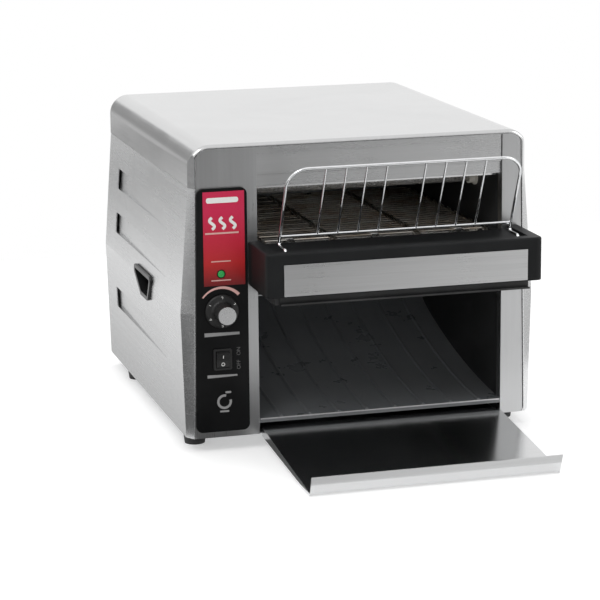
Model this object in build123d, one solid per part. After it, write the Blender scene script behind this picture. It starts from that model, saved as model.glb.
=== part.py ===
from build123d import *
import math
import os

# Conveyor toaster as separate pieces, in millimetres.
# Pieces are drawn with the column faces at y = 0, x to the right, y to the back and the
# counter at z = 0. place_in_row() then puts the origin under the middle of the whole toaster.

# Sheet metal and clearances
sheet = 1.2
gap = 0.3
running_clearance = 0.05
hole_clearance = 0.2

# Outer body
body_depth = 410.0
body_height = 330.0
floor_z = 16.0
waist_z = 151.0
skirt_height = 45.0
skirt_half = 187.0
waist_half = 197.0
base_half = 193.5
face_half_top = 181.5
face_half_base = 186.5
corner_facet_depth = 10.0
column_seam = 2.5
cover_bend = 22.0
cover_front_bend = 4.0
joggle_height = 14.0

# Opening between the columns, and the belt that fills it
opening_centre_x = 21.5
belt_width = 260.0
belt_side_gap = 6.5
column_flange = 12.0
fascia_height = 29.8
fascia_recess = 2.0
header_height = 12.5
header_recess = 4.0
header_depth = 12.0
rail_flange = 14.0

# Belt, shafts and wheels
belt_surface_z = 221.0
belt_pitch = 12.0
belt_teeth = 8
drive_rear_room = 116.0
belt_rod_radius = 1.1
belt_band_width = 2.4
idler_y = 24.0
shaft_radius = 5.0
belt_wheel_width = 8.0
belt_wheel_spread = 95.0
tooth_rise = 1.4
tooth_relief = 1.35
bush_radius = 8.0
bush_flange_radius = 11.0
bush_flange = 2.0
bush_tail = 3.3

# Chain drive and motor
chain_pitch = 6.35
chain_links = 48
shaft_sprocket_teeth = 22
motor_sprocket_teeth = 12
chain_roller_radius = 1.65
chain_roller_width = 3.2
chain_plate = 0.7
chain_plate_radius = 2.6
chain_offset = 8.0
sprocket_width = 2.6
motor_shaft_radius = 4.0
motor_bracket_sheet = 1.5
motor_bracket_width = 62.0
motor_bracket_foot = 28.0
gearbox_size = 56.0
gearbox_depth = 22.0
motor_radius = 24.0
motor_length = 26.0

# Heaters and reflectors
heater_count = 3
heater_end_margin = 60.0
heater_radius = 5.0
heater_wall = 1.0
filament_radius = 1.5
heater_cap_radius = 7.0
heater_cap_flange = 9.0
heater_cap_flange_depth = 2.0
heater_cap_length = 9.0
heater_cap_tail = 5.0
upper_heater_rise = 45.0
upper_reflector_rise = 58.0
lower_reflector_drop = 11.0
reflector_margin = 22.0

# Loading shelf, its trim and the wire rack
shelf_reach = 75.0
shelf_left_lap = 10.0
shelf_right_lap = 19.0
shelf_height = 46.0
shelf_wall = 3.5
shelf_rim_width = 13.0
shelf_rim_height = 4.0
shelf_corner = 8.0
shelf_edge = 2.5
deck_rise = 1.0
trim_height = 33.0
trim_thickness = 1.0
trim_end_left = 18.0
trim_end_right = 18.0
bracket_sheet = 2.0
bracket_foot = 5.5
bracket_height = 26.0
rack_wire_radius = 1.6
rack_bar_radius = 1.1
rack_left_inset = 15.0
rack_right_inset = 3.0
rack_height = 86.0
rack_lean = 40.0
rack_base_y = -30.0
rack_peg_y = -57.0
rack_peg_depth = 10.0
rack_standoff = 4.0
rack_corner = 22.0
rack_small_bend = 3.5
rack_rail_height = 10.0
rack_lane_bars = 4
rack_bar_spacing = 22.0
rack_lane_offset = 54.0
socket_wall = 3.0

# Toast return
chute_lip_z = 33.0
chute_lip_drop = 5.0
chute_start_slope = 3.0
chute_back_gap = 48.6
chute_front_turn = 15.0
chute_rear_radius = 200.0
chute_rear_turn = 52.0
chute_rib_pitch = 32.0
chute_rib_count = 8
chute_rib_radius = 2.2
guide_lap = 12.0
guide_top_z = 277.0
shield_z = 164.0
shield_flange = 12.0
shield_back_gap = 27.6

# Crumb tray
crumb_tray_z = 169.3
crumb_wall_height = 8.0
crumb_sheet = 1.0
crumb_side_gap = 2.0
crumb_front_y = -60.0
crumb_back_gap = 28.6
crumb_lip_overhang_left = 5.0
crumb_lip_overhang_right = 9.5
crumb_pull = 6.0
runner_ledge = 10.0
runner_height = 10.0
runner_back_gap = 32.6
runner_front_y = 20.0

# Exit tray
tray_reach = 190.0
tray_side_gap = 2.5
tray_rear_y = 52.0
tray_level_z = 22.0
tray_tongue_run = 9.0
tray_front_z = 2.6
tray_lip_run = 7.0
tray_lip_rise = 19.0
tray_flange_rear = 9.0
tray_flange_front = 2.0

# Control panel on the left column
panel_thickness = 3.0
panel_left_inset = 1.5
panel_right_margin = 11.5
panel_foot = 7.0
panel_corner = 7.0
overlay_thickness = 0.4
overlay_lamp_margin = 12.5
overlay_top_margin = 3.5
overlay_left_margin = 7.5
overlay_right_margin = 3.0
control_inset = 40.5
knob_z = 154.0
knob_skirt_radius = 18.0
knob_skirt_height = 3.0
knob_grip_radius = 10.5
knob_grip_taper = 1.0
knob_reach = 24.5
knob_cap_thickness = 1.0
knob_shaft_radius = 3.0
knob_shaft_tail = 10.0
control_bush_radius = 4.5
control_body_radius = 12.0
control_body_depth = 14.0
lamp_z = 194.0
lamp_radius = 3.7
lamp_height = 1.6
lamp_body_depth = 8.0
switch_z = 102.0
switch_width = 20.0
switch_height = 23.0
switch_flange = 2.0
switch_body_inset = 1.6
switch_body_depth = 22.0
rocker_width = 14.0
rocker_radius = 9.2
rocker_pivot_y = -2.0
rocker_flat_angle = 9.0
rocker_flat_reach = 4.2
rocker_clearance = 0.4
rocker_trunnion_radius = 1.5
rocker_trunnion_length = 0.8
spade_width = 6.0
spade_length = 8.0

# Side louvres and hand-holds
louvre_front_y = 85.0
louvre_rear_inset = 55.0
louvre_height = 26.0
louvre_depth = 3.5
louvre_bottoms = (226.0, 174.0, 84.0)
hold_front_y = 149.5
hold_length = 90.0
hold_top_z = 159.6
hold_drop = 25.0
hold_front_slant = 15.5
hold_rear_slant = 41.0
hold_corner = 3.5
hold_wall_gap = 13.8
hold_wall = 2.0
hold_rim = 2.5
hold_rim_thickness = 2.5

# Base, back and service parts
base_flange = 12.0
base_slot_width = 4.0
base_slot_length = 34.0
base_slot_pitch = 10.0
base_slot_count = 9
foot_radius = 13.0
foot_taper = 2.0
foot_x = 176.0
foot_front_y = 45.0
foot_rear_inset = 75.0
rear_projection = 2.0
fan_inset = 33.8
fan_z = 100.0
fan_size = 60.0
fan_depth = 20.0
fan_bore = 27.0
fan_hub_radius = 11.0
fan_axle_radius = 2.0
fan_blade_count = 7
fan_blade_thickness = 1.2
fan_blade_pitch = 38.0
fan_arm_width = 4.0
fan_arm_depth = 3.0
guard_ring_spacing = 7.0
guard_ring_count = 4
guard_wire = 1.6
gland_z = 45.0
gland_bore_radius = 4.5
gland_body_radius = 8.0
gland_flange_radius = 12.0
gland_tail = 10.0
terminal_width = 48.0
terminal_depth = 20.0
terminal_height = 18.0
terminal_count = 3
board_front_y = 66.0
board_length = 92.0
board_bottom_z = 44.0
board_height = 80.0
board_thickness = 1.6
board_standoff = 4.0
board_inset = 6.0
vent_slot_width = 4.0
vent_slot_height = 46.0
vent_slot_pitch = 11.0
vent_slot_count = 14
vent_bottom_z = 196.0
screw_head_radius = 3.6
screw_head_height = 1.5
screw_shank_radius = 1.6
screw_length = 7.0
screw_spread = 150.0

# Levels and planes that follow from the sizes above
skirt_z = body_height - skirt_height
column_top_z = body_height - cover_front_bend - gap
opening_left = opening_centre_x - belt_width / 2 - belt_side_gap
opening_right = opening_centre_x + belt_width / 2 + belt_side_gap
wall_left = opening_left - sheet
wall_right = opening_right + sheet
wall_front_y = column_flange + gap
panel_back_y = body_depth - sheet - gap
panel_inner_y = panel_back_y - sheet
floor_top_z = floor_z + sheet
fascia_z = column_top_z - fascia_height
header_z = fascia_z - gap - header_height
foot_rear_y = body_depth - foot_rear_inset
louvre_rear_y = body_depth - louvre_rear_inset
control_x = opening_left - control_inset
fan_x = wall_left - fan_inset
gland_x = fan_x

belt_radius = belt_teeth * belt_pitch / (2 * math.pi)
belt_axis_z = belt_surface_z - belt_rod_radius - belt_radius
belt_run_pitches = int((body_depth - idler_y - drive_rear_room) / belt_pitch)
drive_y = idler_y + belt_run_pitches * belt_pitch
belt_left = opening_centre_x - belt_width / 2
belt_right = opening_centre_x + belt_width / 2
belt_wheel_places = [opening_centre_x + k * belt_wheel_spread for k in (-1, 0, 1)]

sprocket_radius = shaft_sprocket_teeth * chain_pitch / (2 * math.pi)
pinion_radius = motor_sprocket_teeth * chain_pitch / (2 * math.pi)
chain_x = wall_left - chain_offset
chain_half_width = chain_roller_width / 2 + 2 * chain_plate
chain_spare = chain_links * chain_pitch - math.pi * (sprocket_radius + pinion_radius)
chain_step = sprocket_radius - pinion_radius
chain_centres = (chain_spare + math.sqrt(chain_spare ** 2 - 8 * chain_step ** 2)) / 4
motor_y = drive_y
motor_z = belt_axis_z - chain_centres
motor_face_x = chain_x - chain_half_width - 2 * gap - motor_bracket_sheet

heater_span = drive_y - idler_y - 2 * heater_end_margin
heater_places = [idler_y + heater_end_margin + k * heater_span / (heater_count - 1)
                 for k in range(heater_count)]
upper_heater_z = belt_surface_z + upper_heater_rise
lower_heater_z = belt_axis_z

deck_z = belt_surface_z + deck_rise
shelf_top_z = deck_z + shelf_rim_height
shelf_bottom_z = shelf_top_z - shelf_height
shelf_left = opening_left - shelf_left_lap
shelf_right = opening_right + shelf_right_lap
rack_left = opening_left + rack_left_inset
rack_right = opening_right - rack_right_inset
rack_foot_z = deck_z + rack_standoff

chute_front_y = sheet + gap
chute_rear_y = panel_inner_y - chute_back_gap
chute_slopes = [math.radians(chute_start_slope),
                math.radians(chute_start_slope + chute_front_turn),
                math.radians(chute_start_slope + chute_front_turn + chute_rear_turn)]
chute_sines = [math.sin(slope) for slope in chute_slopes]
chute_rear_run = chute_rear_radius * (chute_sines[2] - chute_sines[1])
chute_front_run = chute_rear_y - chute_front_y - chute_rear_run
chute_front_radius = chute_front_run / (chute_sines[1] - chute_sines[0])
shield_rear_y = chute_rear_y - shield_back_gap
crumb_rear_y = chute_rear_y - crumb_back_gap
runner_rear_y = chute_rear_y - runner_back_gap

control_y = -panel_thickness
overlay_y = control_y - overlay_thickness


def face_half(z):
    """Half width of the column faces at a height."""
    share = (z - floor_z) / (skirt_z - floor_z)
    return face_half_base + (face_half_top - face_half_base) * share


def side_half(z):
    """Half width of the side panels' outside at a height."""
    if z < waist_z:
        return base_half + (waist_half - base_half) * (z - floor_z) / (waist_z - floor_z)
    return waist_half + (skirt_half - waist_half) * (z - waist_z) / (skirt_z - waist_z)


hold_rim_top_z = hold_top_z + hold_rim
hold_rim_low_z = hold_top_z - hold_drop - hold_rim
hold_face_x = max(side_half(z) for z in (hold_rim_top_z, waist_z, hold_rim_low_z))
hold_back_x = wall_right + hold_wall_gap
hold_depth = hold_face_x - hold_back_x


def block(x0, x1, y0, y1, z0, z1):
    """Box between two corners."""
    middle = Pos((x0 + x1) / 2, (y0 + y1) / 2, (z0 + z1) / 2)
    return middle * Box(x1 - x0, y1 - y0, z1 - z0)


def rod_x(x0, x1, y, z, radius):
    """Round bar along x."""
    return Pos((x0 + x1) / 2, y, z) * Rot(0, 90, 0) * Cylinder(radius, x1 - x0)


def rod_y(y0, y1, x, z, radius):
    """Round bar along y."""
    return Pos(x, (y0 + y1) / 2, z) * Rot(90, 0, 0) * Cylinder(radius, y1 - y0)


def rod_z(z0, z1, x, y, radius):
    """Round bar along z."""
    return Pos(x, y, (z0 + z1) / 2) * Cylinder(radius, z1 - z0)


def bar(start, end, radius):
    """Round bar between two points."""
    path = Line(start, end)
    section = Plane(origin=start, z_dir=path % 0) * Circle(radius)
    return extrude(section, amount=path.length)


def prism_x(outline, x0, x1):
    """Solid of a (y, z) outline between two x planes."""
    face = make_face(Polyline(*[(x0, y, z) for y, z in outline], close=True))
    return extrude(face, amount=x1 - x0, dir=(1, 0, 0))


def prism_y(outline, y0, y1):
    """Solid of an (x, z) outline between two y planes."""
    face = make_face(Polyline(*[(x, y0, z) for x, z in outline], close=True))
    return extrude(face, amount=y1 - y0, dir=(0, 1, 0))


def prism_z(outline, z0, z1):
    """Solid of an (x, y) outline between two z planes."""
    face = make_face(Polyline(*[(x, y, z0) for x, y in outline], close=True))
    return extrude(face, amount=z1 - z0, dir=(0, 0, 1))


def band(points, thickness):
    """Outline of a bent sheet: the points are one face, the thickness lies to their left."""
    normals = []
    for (u0, v0), (u1, v1) in zip(points, points[1:]):
        length = math.hypot(u1 - u0, v1 - v0)
        normals.append(((v0 - v1) / length, (u1 - u0) / length))
    back = []
    for i, (u, v) in enumerate(points):
        before = normals[max(i - 1, 0)]
        after = normals[min(i, len(normals) - 1)]
        share = thickness / (1 + before[0] * after[0] + before[1] * after[1])
        back.append((u + (before[0] + after[0]) * share, v + (before[1] + after[1]) * share))
    return list(points) + back[::-1]


def group(pieces):
    """Separate solids kept together in one node."""
    solids = []
    for piece in pieces:
        solids.extend(piece.solids())
    return Compound(children=solids)


def screw_y(x, y, z):
    """Pan-head screw whose head stands on the plane y, shank towards the front."""
    head = rod_y(y, y + screw_head_height, x, z, screw_head_radius)
    rim = head.edges().filter_by(GeomType.CIRCLE).sort_by(Axis.Y)[-1]
    head = fillet(rim, screw_head_height * 0.6)
    return head + rod_y(y - screw_length, y, x, z, screw_shank_radius)


# Body panels

def cover_prism(inset, y0, y1, low):
    """Straight solid with the cover's outline, shrunk by an inset."""
    half = skirt_half - inset
    top = body_height - inset
    plane = Plane(origin=(0, y0, 0), x_dir=(1, 0, 0), z_dir=(0, -1, 0))
    outline = Pos(0, (top + low) / 2) * Rectangle(2 * half, top - low)
    corners = outline.vertices().group_by(Axis.Y)[-1]
    return extrude(plane * fillet(corners, cover_bend - inset), amount=y0 - y1)


def cover_block(inset, y0, y1, low):
    """Solid with the cover's outside shape and rolled front edge, shrunk by an inset."""
    solid = cover_prism(inset, y0, y1, low)
    front = solid.edges().group_by(Axis.Y)[0].sort_by(Axis.Z)[1:]
    return fillet(front, cover_front_bend - inset)


def outside_bends(inset, y0, y1):
    """What lies outside the cover's two side bends, shrunk by an inset."""
    low = body_height - cover_bend
    around = block(-skirt_half, skirt_half, y0, y1, low, body_height)
    return around - cover_prism(inset, y0 - sheet, y1 + sheet, low - sheet)


def corner_wedges(inset):
    """What the two front corner facets take off the cover, from a plane inset by a wall."""
    width = skirt_half - face_half_top
    shift = inset * math.hypot(width, corner_facet_depth) / corner_facet_depth
    outline = [(face_half_top - shift - width, -corner_facet_depth),
               (skirt_half - shift + width, 2 * corner_facet_depth),
               (skirt_half + 2 * width, -corner_facet_depth)]
    wedge = prism_z(outline, skirt_z - 2 * sheet, body_height + sheet)
    return wedge + mirrored(wedge)


def top_cover():
    cover = cover_block(0, 0, body_depth, skirt_z) - corner_wedges(0)
    hollow = cover_block(sheet, sheet, body_depth - sheet, skirt_z - sheet)
    cover -= hollow - corner_wedges(sheet)
    right = [(face_half(z) - sheet, z) for z in (skirt_z - sheet, column_top_z + gap)]
    left = [(-x, z) for x, z in reversed(right)]
    notch = prism_y(right + left, -sheet, corner_facet_depth)
    cover -= notch - outside_bends(cover_front_bend, -2 * sheet, 2 * corner_facet_depth)
    for x in (-screw_spread, 0, screw_spread):
        cover -= rod_y(body_depth - 2 * sheet, body_depth + sheet, x, skirt_z + joggle_height / 2,
                       screw_shank_radius + hole_clearance)
    return cover


def louvre_wedge(bottom, lift, lower, upper):
    """Wedge that deepens to the back; lower and upper are its depths at front and back."""
    top = bottom + louvre_height
    foot = (side_half(bottom), bottom)
    head = (side_half(top), top)
    length = math.hypot(head[0] - foot[0], head[1] - foot[1])
    along = ((head[0] - foot[0]) / length, (head[1] - foot[1]) / length)
    inward = (-along[1], along[0])
    start = (foot[0] + along[0] * lift, foot[1] + along[1] * lift)
    corners = []
    for y, depth in lower + upper:
        corners.append((start[0] + inward[0] * depth, y, start[1] + inward[1] * depth))
    face = make_face(Polyline(*corners, close=True))
    return extrude(face, amount=length - 2 * lift, dir=(along[0], 0, along[1]))


def hold_outline(grow, x):
    """Hand-hold outline in the plane at x, grown by a margin."""
    front_low = (hold_front_y + hold_front_slant, hold_top_z - hold_drop)
    rear_low = (hold_front_y + hold_length - hold_rear_slant, hold_top_z - hold_drop)
    rear_top = (hold_front_y + hold_length, hold_top_z)
    front_top = (hold_front_y, hold_top_z)
    outline = make_face(Polyline(front_low, rear_low, rear_top, front_top, close=True))
    outline = fillet(outline.vertices(), hold_corner)
    if grow:
        outline = offset(outline, amount=grow)
    plane = Plane(origin=(x, 0, 0), x_dir=(0, 1, 0), z_dir=(1, 0, 0))
    return plane * outline


def right_side_panel():
    flange = skirt_half - sheet - gap
    edge_z = skirt_z - gap
    lower = [(base_half, floor_z), (waist_half, waist_z), (side_half(edge_z), edge_z)]
    joggle = [(flange, edge_z), (flange, edge_z + joggle_height)]
    panel = prism_y(band(lower + joggle, sheet), corner_facet_depth, panel_back_y)
    inner = [(face_half(z), z) for _, z in lower]
    ends = []
    for points, y in ((inner, 0.0), (lower, corner_facet_depth)):
        corners = [(x, y, z) for x, z in band(points, sheet)]
        ends.append(make_face(Polyline(*corners, close=True)))
    panel += loft(ends, ruled=True)
    for bottom in louvre_bottoms:
        skin = louvre_wedge(bottom, 0, [(louvre_front_y, 0), (louvre_rear_y, 0)],
                            [(louvre_rear_y, louvre_depth + sheet), (louvre_front_y, sheet)])
        hollow = louvre_wedge(bottom, sheet, [(louvre_front_y, -sheet), (louvre_rear_y, -sheet)],
                              [(louvre_rear_y, louvre_depth), (louvre_front_y, 0)])
        panel = panel + skin - hollow
    window = extrude(hold_outline(hole_clearance, hold_back_x), amount=2 * hold_depth)
    return panel - window


def column(side):
    """Front column: a face plate with a flange that turns in beside the opening."""
    foot_z = floor_top_z + gap
    if side < 0:
        inner = opening_left
        flange = block(wall_left, opening_left, 0, column_flange, foot_z, column_top_z)
    else:
        inner = opening_right
        flange = block(opening_right, wall_right, 0, column_flange, foot_z, column_top_z)
    edge = sheet + gap + (column_seam if side > 0 else 0)
    outer = [(side * (face_half(z) - edge), z) for z in (floor_z, column_top_z)]
    outline = [(inner, floor_z), outer[0], outer[1], (inner, column_top_z)]
    return prism_y(outline, 0, sheet) - column_corners() + flange


def column_corners():
    """What the cover's side bends take off the upper corners of the columns."""
    return outside_bends(cover_front_bend + gap, -sheet, 3 * sheet)


def panel_cutouts(y0, y1):
    """What passes through the control panel: control bush, lamp and switch body."""
    bush = rod_y(y0, y1, control_x, knob_z, control_bush_radius + hole_clearance)
    lamp = rod_y(y0, y1, control_x, lamp_z, lamp_radius + hole_clearance)
    half_width = switch_width / 2 - switch_body_inset + hole_clearance
    half_height = switch_height / 2 - switch_body_inset + hole_clearance
    switch = block(control_x - half_width, control_x + half_width, y0, y1,
                   switch_z - half_height, switch_z + half_height)
    return [bush, lamp, switch]


def left_column():
    plate = column(-1)
    for cut in panel_cutouts(-sheet, 2 * sheet):
        plate -= cut
    return plate


def right_column():
    """Right column, with its outer edge joggled back to leave a shallow groove."""
    ends = (floor_top_z + gap, column_top_z)
    outer = [(face_half(z) - sheet - gap, z) for z in ends]
    inner = [(x - column_seam - sheet, z) for x, z in reversed(outer)]
    return column(1) + (prism_y(outer + inner, sheet, 2 * sheet) - column_corners())


def front_fascia():
    x0 = opening_left + gap
    x1 = opening_right - gap
    y0 = fascia_recess
    path = [(y0, column_top_z), (y0, fascia_z), (y0 + rail_flange, fascia_z)]
    return prism_x(band(path, sheet), x0, x1)


def header_rail():
    x0 = opening_left + gap
    x1 = opening_right - gap
    y0 = header_recess
    y1 = header_recess + header_depth
    path = [(y1, header_z + header_height), (y0, header_z + header_height), (y0, header_z),
            (y1, header_z)]
    return prism_x(band(path, sheet), x0, x1)


def inner_wall(side):
    """Side wall of the toasting chamber, with holes for bushes and heater caps."""
    x0, x1 = (wall_left, opening_left) if side < 0 else (opening_right, wall_right)
    wall_rear_y = panel_inner_y - 2 * gap - sheet
    wall = block(x0, x1, wall_front_y, wall_rear_y, floor_top_z, column_top_z - sheet)
    for y in (idler_y, drive_y):
        wall -= rod_x(x0 - sheet, x1 + sheet, y, belt_axis_z, bush_radius + running_clearance)
    for y in heater_places:
        for z in (upper_heater_z, lower_heater_z):
            wall -= rod_x(x0 - sheet, x1 + sheet, y, z, heater_cap_radius + running_clearance)
    return wall


def back_outline():
    """Half outlines of the back panel between the side panels and under the cover."""
    inset = sheet + gap
    top = skirt_z + joggle_height
    shoulder = skirt_z - 2 * sheet - gap
    upper_half = skirt_half - 2 * (sheet + gap)
    right = [(side_half(z) - inset, z) for z in (floor_z, waist_z, shoulder)]
    right += [(upper_half, shoulder), (upper_half, top)]
    left = [(-x, z) for x, z in reversed(right)]
    return right + left


def back_panel():
    panel = prism_y(back_outline(), panel_inner_y, panel_back_y)
    through = (panel_inner_y - sheet, panel_back_y + sheet)
    panel -= rod_y(*through, fan_x, fan_z, fan_bore)
    panel -= rod_y(*through, gland_x, gland_z, gland_body_radius + hole_clearance)
    first = opening_centre_x - (vent_slot_count - 1) * vent_slot_pitch / 2
    for k in range(vent_slot_count):
        x = first + k * vent_slot_pitch
        panel -= block(x - vent_slot_width / 2, x + vent_slot_width / 2, *through,
                       vent_bottom_z, vent_bottom_z + vent_slot_height)
    for x, z in back_screw_places():
        panel -= rod_y(*through, x, z, screw_shank_radius + hole_clearance)
    for x in (-screw_spread, 0, screw_spread):
        panel -= rod_y(*through, x, skirt_z + joggle_height / 2, screw_shank_radius + hole_clearance)
    return panel


def back_screw_places():
    """Screws that hold the fan and the foot of the back panel."""
    reach = fan_size / 2 - 4
    fan = [(fan_x + i * reach, fan_z + k * reach) for i in (-1, 1) for k in (-1, 1)]
    low = [(x, floor_z + base_flange / 2) for x in (-screw_spread, 0, screw_spread)]
    return fan + low


def base_pan():
    half = base_half - sheet - gap
    top = floor_z + base_flange
    path = [(-half, top), (-half, floor_z), (half, floor_z), (half, top)]
    pan = prism_y(band(path, sheet), corner_facet_depth, panel_inner_y - gap)
    front_half = face_half_base - sheet - gap
    pan += block(-front_half, front_half, sheet + gap, corner_facet_depth, floor_z, floor_top_z)
    rear = block(-half + sheet, half - sheet, panel_inner_y - gap - sheet, panel_inner_y - gap,
                 floor_top_z, top)
    pan += rear
    first = body_depth / 2 - (base_slot_count - 1) * base_slot_pitch / 2
    for x in ((wall_left - base_half) / 2, (opening_left + opening_right) / 2):
        for k in range(base_slot_count):
            y = first + k * base_slot_pitch
            pan -= block(x - base_slot_length / 2, x + base_slot_length / 2,
                         y - base_slot_width / 2, y + base_slot_width / 2,
                         floor_z - sheet, floor_top_z + sheet)
    for x, z in back_screw_places()[4:]:
        pan -= rod_y(panel_inner_y - gap - 2 * sheet, panel_inner_y, x, z,
                     screw_shank_radius + hole_clearance)
    return pan


def feet():
    pads = []
    for x in (-foot_x, foot_x):
        for y in (foot_front_y, foot_rear_y):
            cone = Cone(foot_radius - foot_taper, foot_radius, floor_z)
            pads.append(Pos(x, y, floor_z / 2) * cone)
    return group(pads)


def hand_hold():
    """Right hand-hold: an open cup behind a flat rim."""
    cup = extrude(hold_outline(0, hold_back_x), amount=hold_depth)
    cup += extrude(hold_outline(hold_rim, hold_face_x), amount=hold_rim_thickness)
    return cup - extrude(hold_outline(-hold_wall, hold_back_x + hold_wall), amount=2 * hold_depth)


# Control panel

def control_panel():
    top = skirt_z - gap
    low = floor_z + panel_foot
    right = opening_left - panel_right_margin
    left = [(-(face_half(z) - panel_left_inset), z) for z in (top, low)]
    outline = make_face(Polyline(left[0], left[1], (right, low), (right, top), close=True))
    outline = fillet(outline.vertices(), panel_corner)
    plane = Plane(origin=(0, control_y, 0), x_dir=(1, 0, 0), z_dir=(0, -1, 0))
    panel = extrude(plane * outline, amount=-panel_thickness)
    for cut in panel_cutouts(control_y - sheet, sheet):
        panel -= cut
    return panel


def panel_overlay():
    top = skirt_z - overlay_top_margin
    low = lamp_z - overlay_lamp_margin
    left = -face_half(top) + overlay_left_margin
    right = opening_left - panel_right_margin - overlay_right_margin
    overlay = block(left, right, overlay_y, control_y, low, top)
    overlay -= rod_y(overlay_y - sheet, control_y + sheet, control_x, lamp_z,
                     lamp_radius + hole_clearance)
    return overlay


def indicator_lamp():
    lens = rod_y(overlay_y - lamp_height, 0, control_x, lamp_z, lamp_radius)
    rim = lens.edges().filter_by(GeomType.CIRCLE).sort_by(Axis.Y)[0]
    lens = fillet(rim, lamp_height * 0.8)
    return lens + rod_y(0, lamp_body_depth, control_x, lamp_z, lamp_radius - gap)


def speed_control():
    """Control behind the column, with the bush that the knob's shaft turns in."""
    body = rod_y(sheet, sheet + control_body_depth, control_x, knob_z, control_body_radius)
    body += rod_y(control_y, sheet, control_x, knob_z, control_bush_radius)
    bore = knob_shaft_radius + running_clearance
    return body - rod_y(control_y - sheet, knob_shaft_tail + gap, control_x, knob_z, bore)


def knob_shaft():
    front = control_y - overlay_thickness - knob_reach + knob_cap_thickness + gap
    return rod_y(front, knob_shaft_tail, control_x, knob_z, knob_shaft_radius)


def speed_knob():
    """Dial skirt and grip in one moulding, bored for the shaft."""
    back = overlay_y - gap
    front = overlay_y - knob_reach + knob_cap_thickness
    skirt = rod_y(back - knob_skirt_height, back, control_x, knob_z, knob_skirt_radius)
    rim = skirt.edges().filter_by(GeomType.CIRCLE).sort_by(Axis.Y)[0]
    skirt = chamfer(rim, knob_skirt_height * 0.4)
    length = back - knob_skirt_height - front
    grip = Cone(knob_grip_radius, knob_grip_radius - knob_grip_taper, length)
    grip = Pos(control_x, front + length / 2, knob_z) * Rot(90, 0, 0) * grip
    knob = skirt + grip
    return knob - rod_y(front + gap, back + sheet, control_x, knob_z, knob_shaft_radius)


def knob_cap():
    front = overlay_y - knob_reach
    radius = knob_grip_radius - knob_grip_taper
    return rod_y(front, front + knob_cap_thickness, control_x, knob_z, radius)


def switch_housing():
    half_width = switch_width / 2
    half_height = switch_height / 2
    front = control_y - switch_flange
    flange = block(control_x - half_width, control_x + half_width, front, control_y,
                   switch_z - half_height, switch_z + half_height)
    flange = fillet(flange.edges().filter_by(Axis.Y), switch_flange)
    inset = switch_body_inset
    body = block(control_x - half_width + inset, control_x + half_width - inset,
                 control_y, switch_body_depth,
                 switch_z - half_height + inset, switch_z + half_height - inset)
    well = rocker_radius + rocker_clearance
    half = rocker_width / 2 + rocker_clearance
    cavity = rod_x(control_x - half, control_x + half, rocker_pivot_y, switch_z, well)
    reach = rocker_width / 2 + rocker_trunnion_length + running_clearance
    seat = rod_x(control_x - reach, control_x + reach, rocker_pivot_y, switch_z,
                 rocker_trunnion_radius + running_clearance)
    housing = flange + body - cavity - seat
    for z in (switch_z - half_height / 2, switch_z + half_height / 2):
        housing += block(control_x - spade_width / 2, control_x + spade_width / 2,
                         switch_body_depth, switch_body_depth + spade_length,
                         z - sheet / 2, z + sheet / 2)
    return housing


def rocker():
    """Rocker with two flats that meet over its pivot, at rest with its lower half pressed."""
    half = rocker_width / 2
    drum = rod_x(control_x - half, control_x + half, rocker_pivot_y, switch_z, rocker_radius)
    rise = rocker_radius * math.tan(math.radians(rocker_flat_angle))
    front = rocker_pivot_y - rocker_flat_reach
    back = rocker_pivot_y + gap
    outline = [(front, switch_z), (front - rise, switch_z + rocker_radius),
               (back, switch_z + rocker_radius), (back, switch_z - rocker_radius),
               (front - rise, switch_z - rocker_radius)]
    paddle = drum & prism_x(outline, control_x - half, control_x + half)
    reach = half + rocker_trunnion_length
    paddle += rod_x(control_x - reach, control_x + reach, rocker_pivot_y, switch_z,
                    rocker_trunnion_radius)
    pivot = Pos(0, rocker_pivot_y, switch_z)
    return pivot * Rot(rocker_flat_angle, 0, 0) * pivot.inverse() * paddle


# Belt, shafts and drive

def loop_point(distance, centre_a, radius_a, centre_b, radius_b):
    """Point at a distance along the loop round two wheels, from the first tangent point."""
    span = (centre_b[0] - centre_a[0], centre_b[1] - centre_a[1])
    length = math.hypot(*span)
    ahead = (span[0] / length, span[1] / length)
    across = (-ahead[1], ahead[0])
    sine = (radius_a - radius_b) / length
    cosine = math.sqrt(1 - sine ** 2)
    straight = length * cosine
    tilt = math.asin(sine)
    wrap_b = (math.pi - 2 * tilt) * radius_b
    start = math.atan2(across[1] * cosine + ahead[1] * sine, across[0] * cosine + ahead[0] * sine)
    if distance < straight:
        base = (centre_a[0] + radius_a * math.cos(start), centre_a[1] + radius_a * math.sin(start))
        way = (ahead[0] * cosine - across[0] * sine, ahead[1] * cosine - across[1] * sine)
        return (base[0] + way[0] * distance, base[1] + way[1] * distance)
    distance -= straight
    if distance < wrap_b:
        angle = start - distance / radius_b
        return (centre_b[0] + radius_b * math.cos(angle), centre_b[1] + radius_b * math.sin(angle))
    distance -= wrap_b
    turned = start - (math.pi - 2 * tilt)
    if distance < straight:
        base = (centre_b[0] + radius_b * math.cos(turned), centre_b[1] + radius_b * math.sin(turned))
        way = (-ahead[0] * cosine - across[0] * sine, -ahead[1] * cosine - across[1] * sine)
        return (base[0] + way[0] * distance, base[1] + way[1] * distance)
    angle = turned - (distance - straight) / radius_a
    return (centre_a[0] + radius_a * math.cos(angle), centre_a[1] + radius_a * math.sin(angle))


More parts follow.
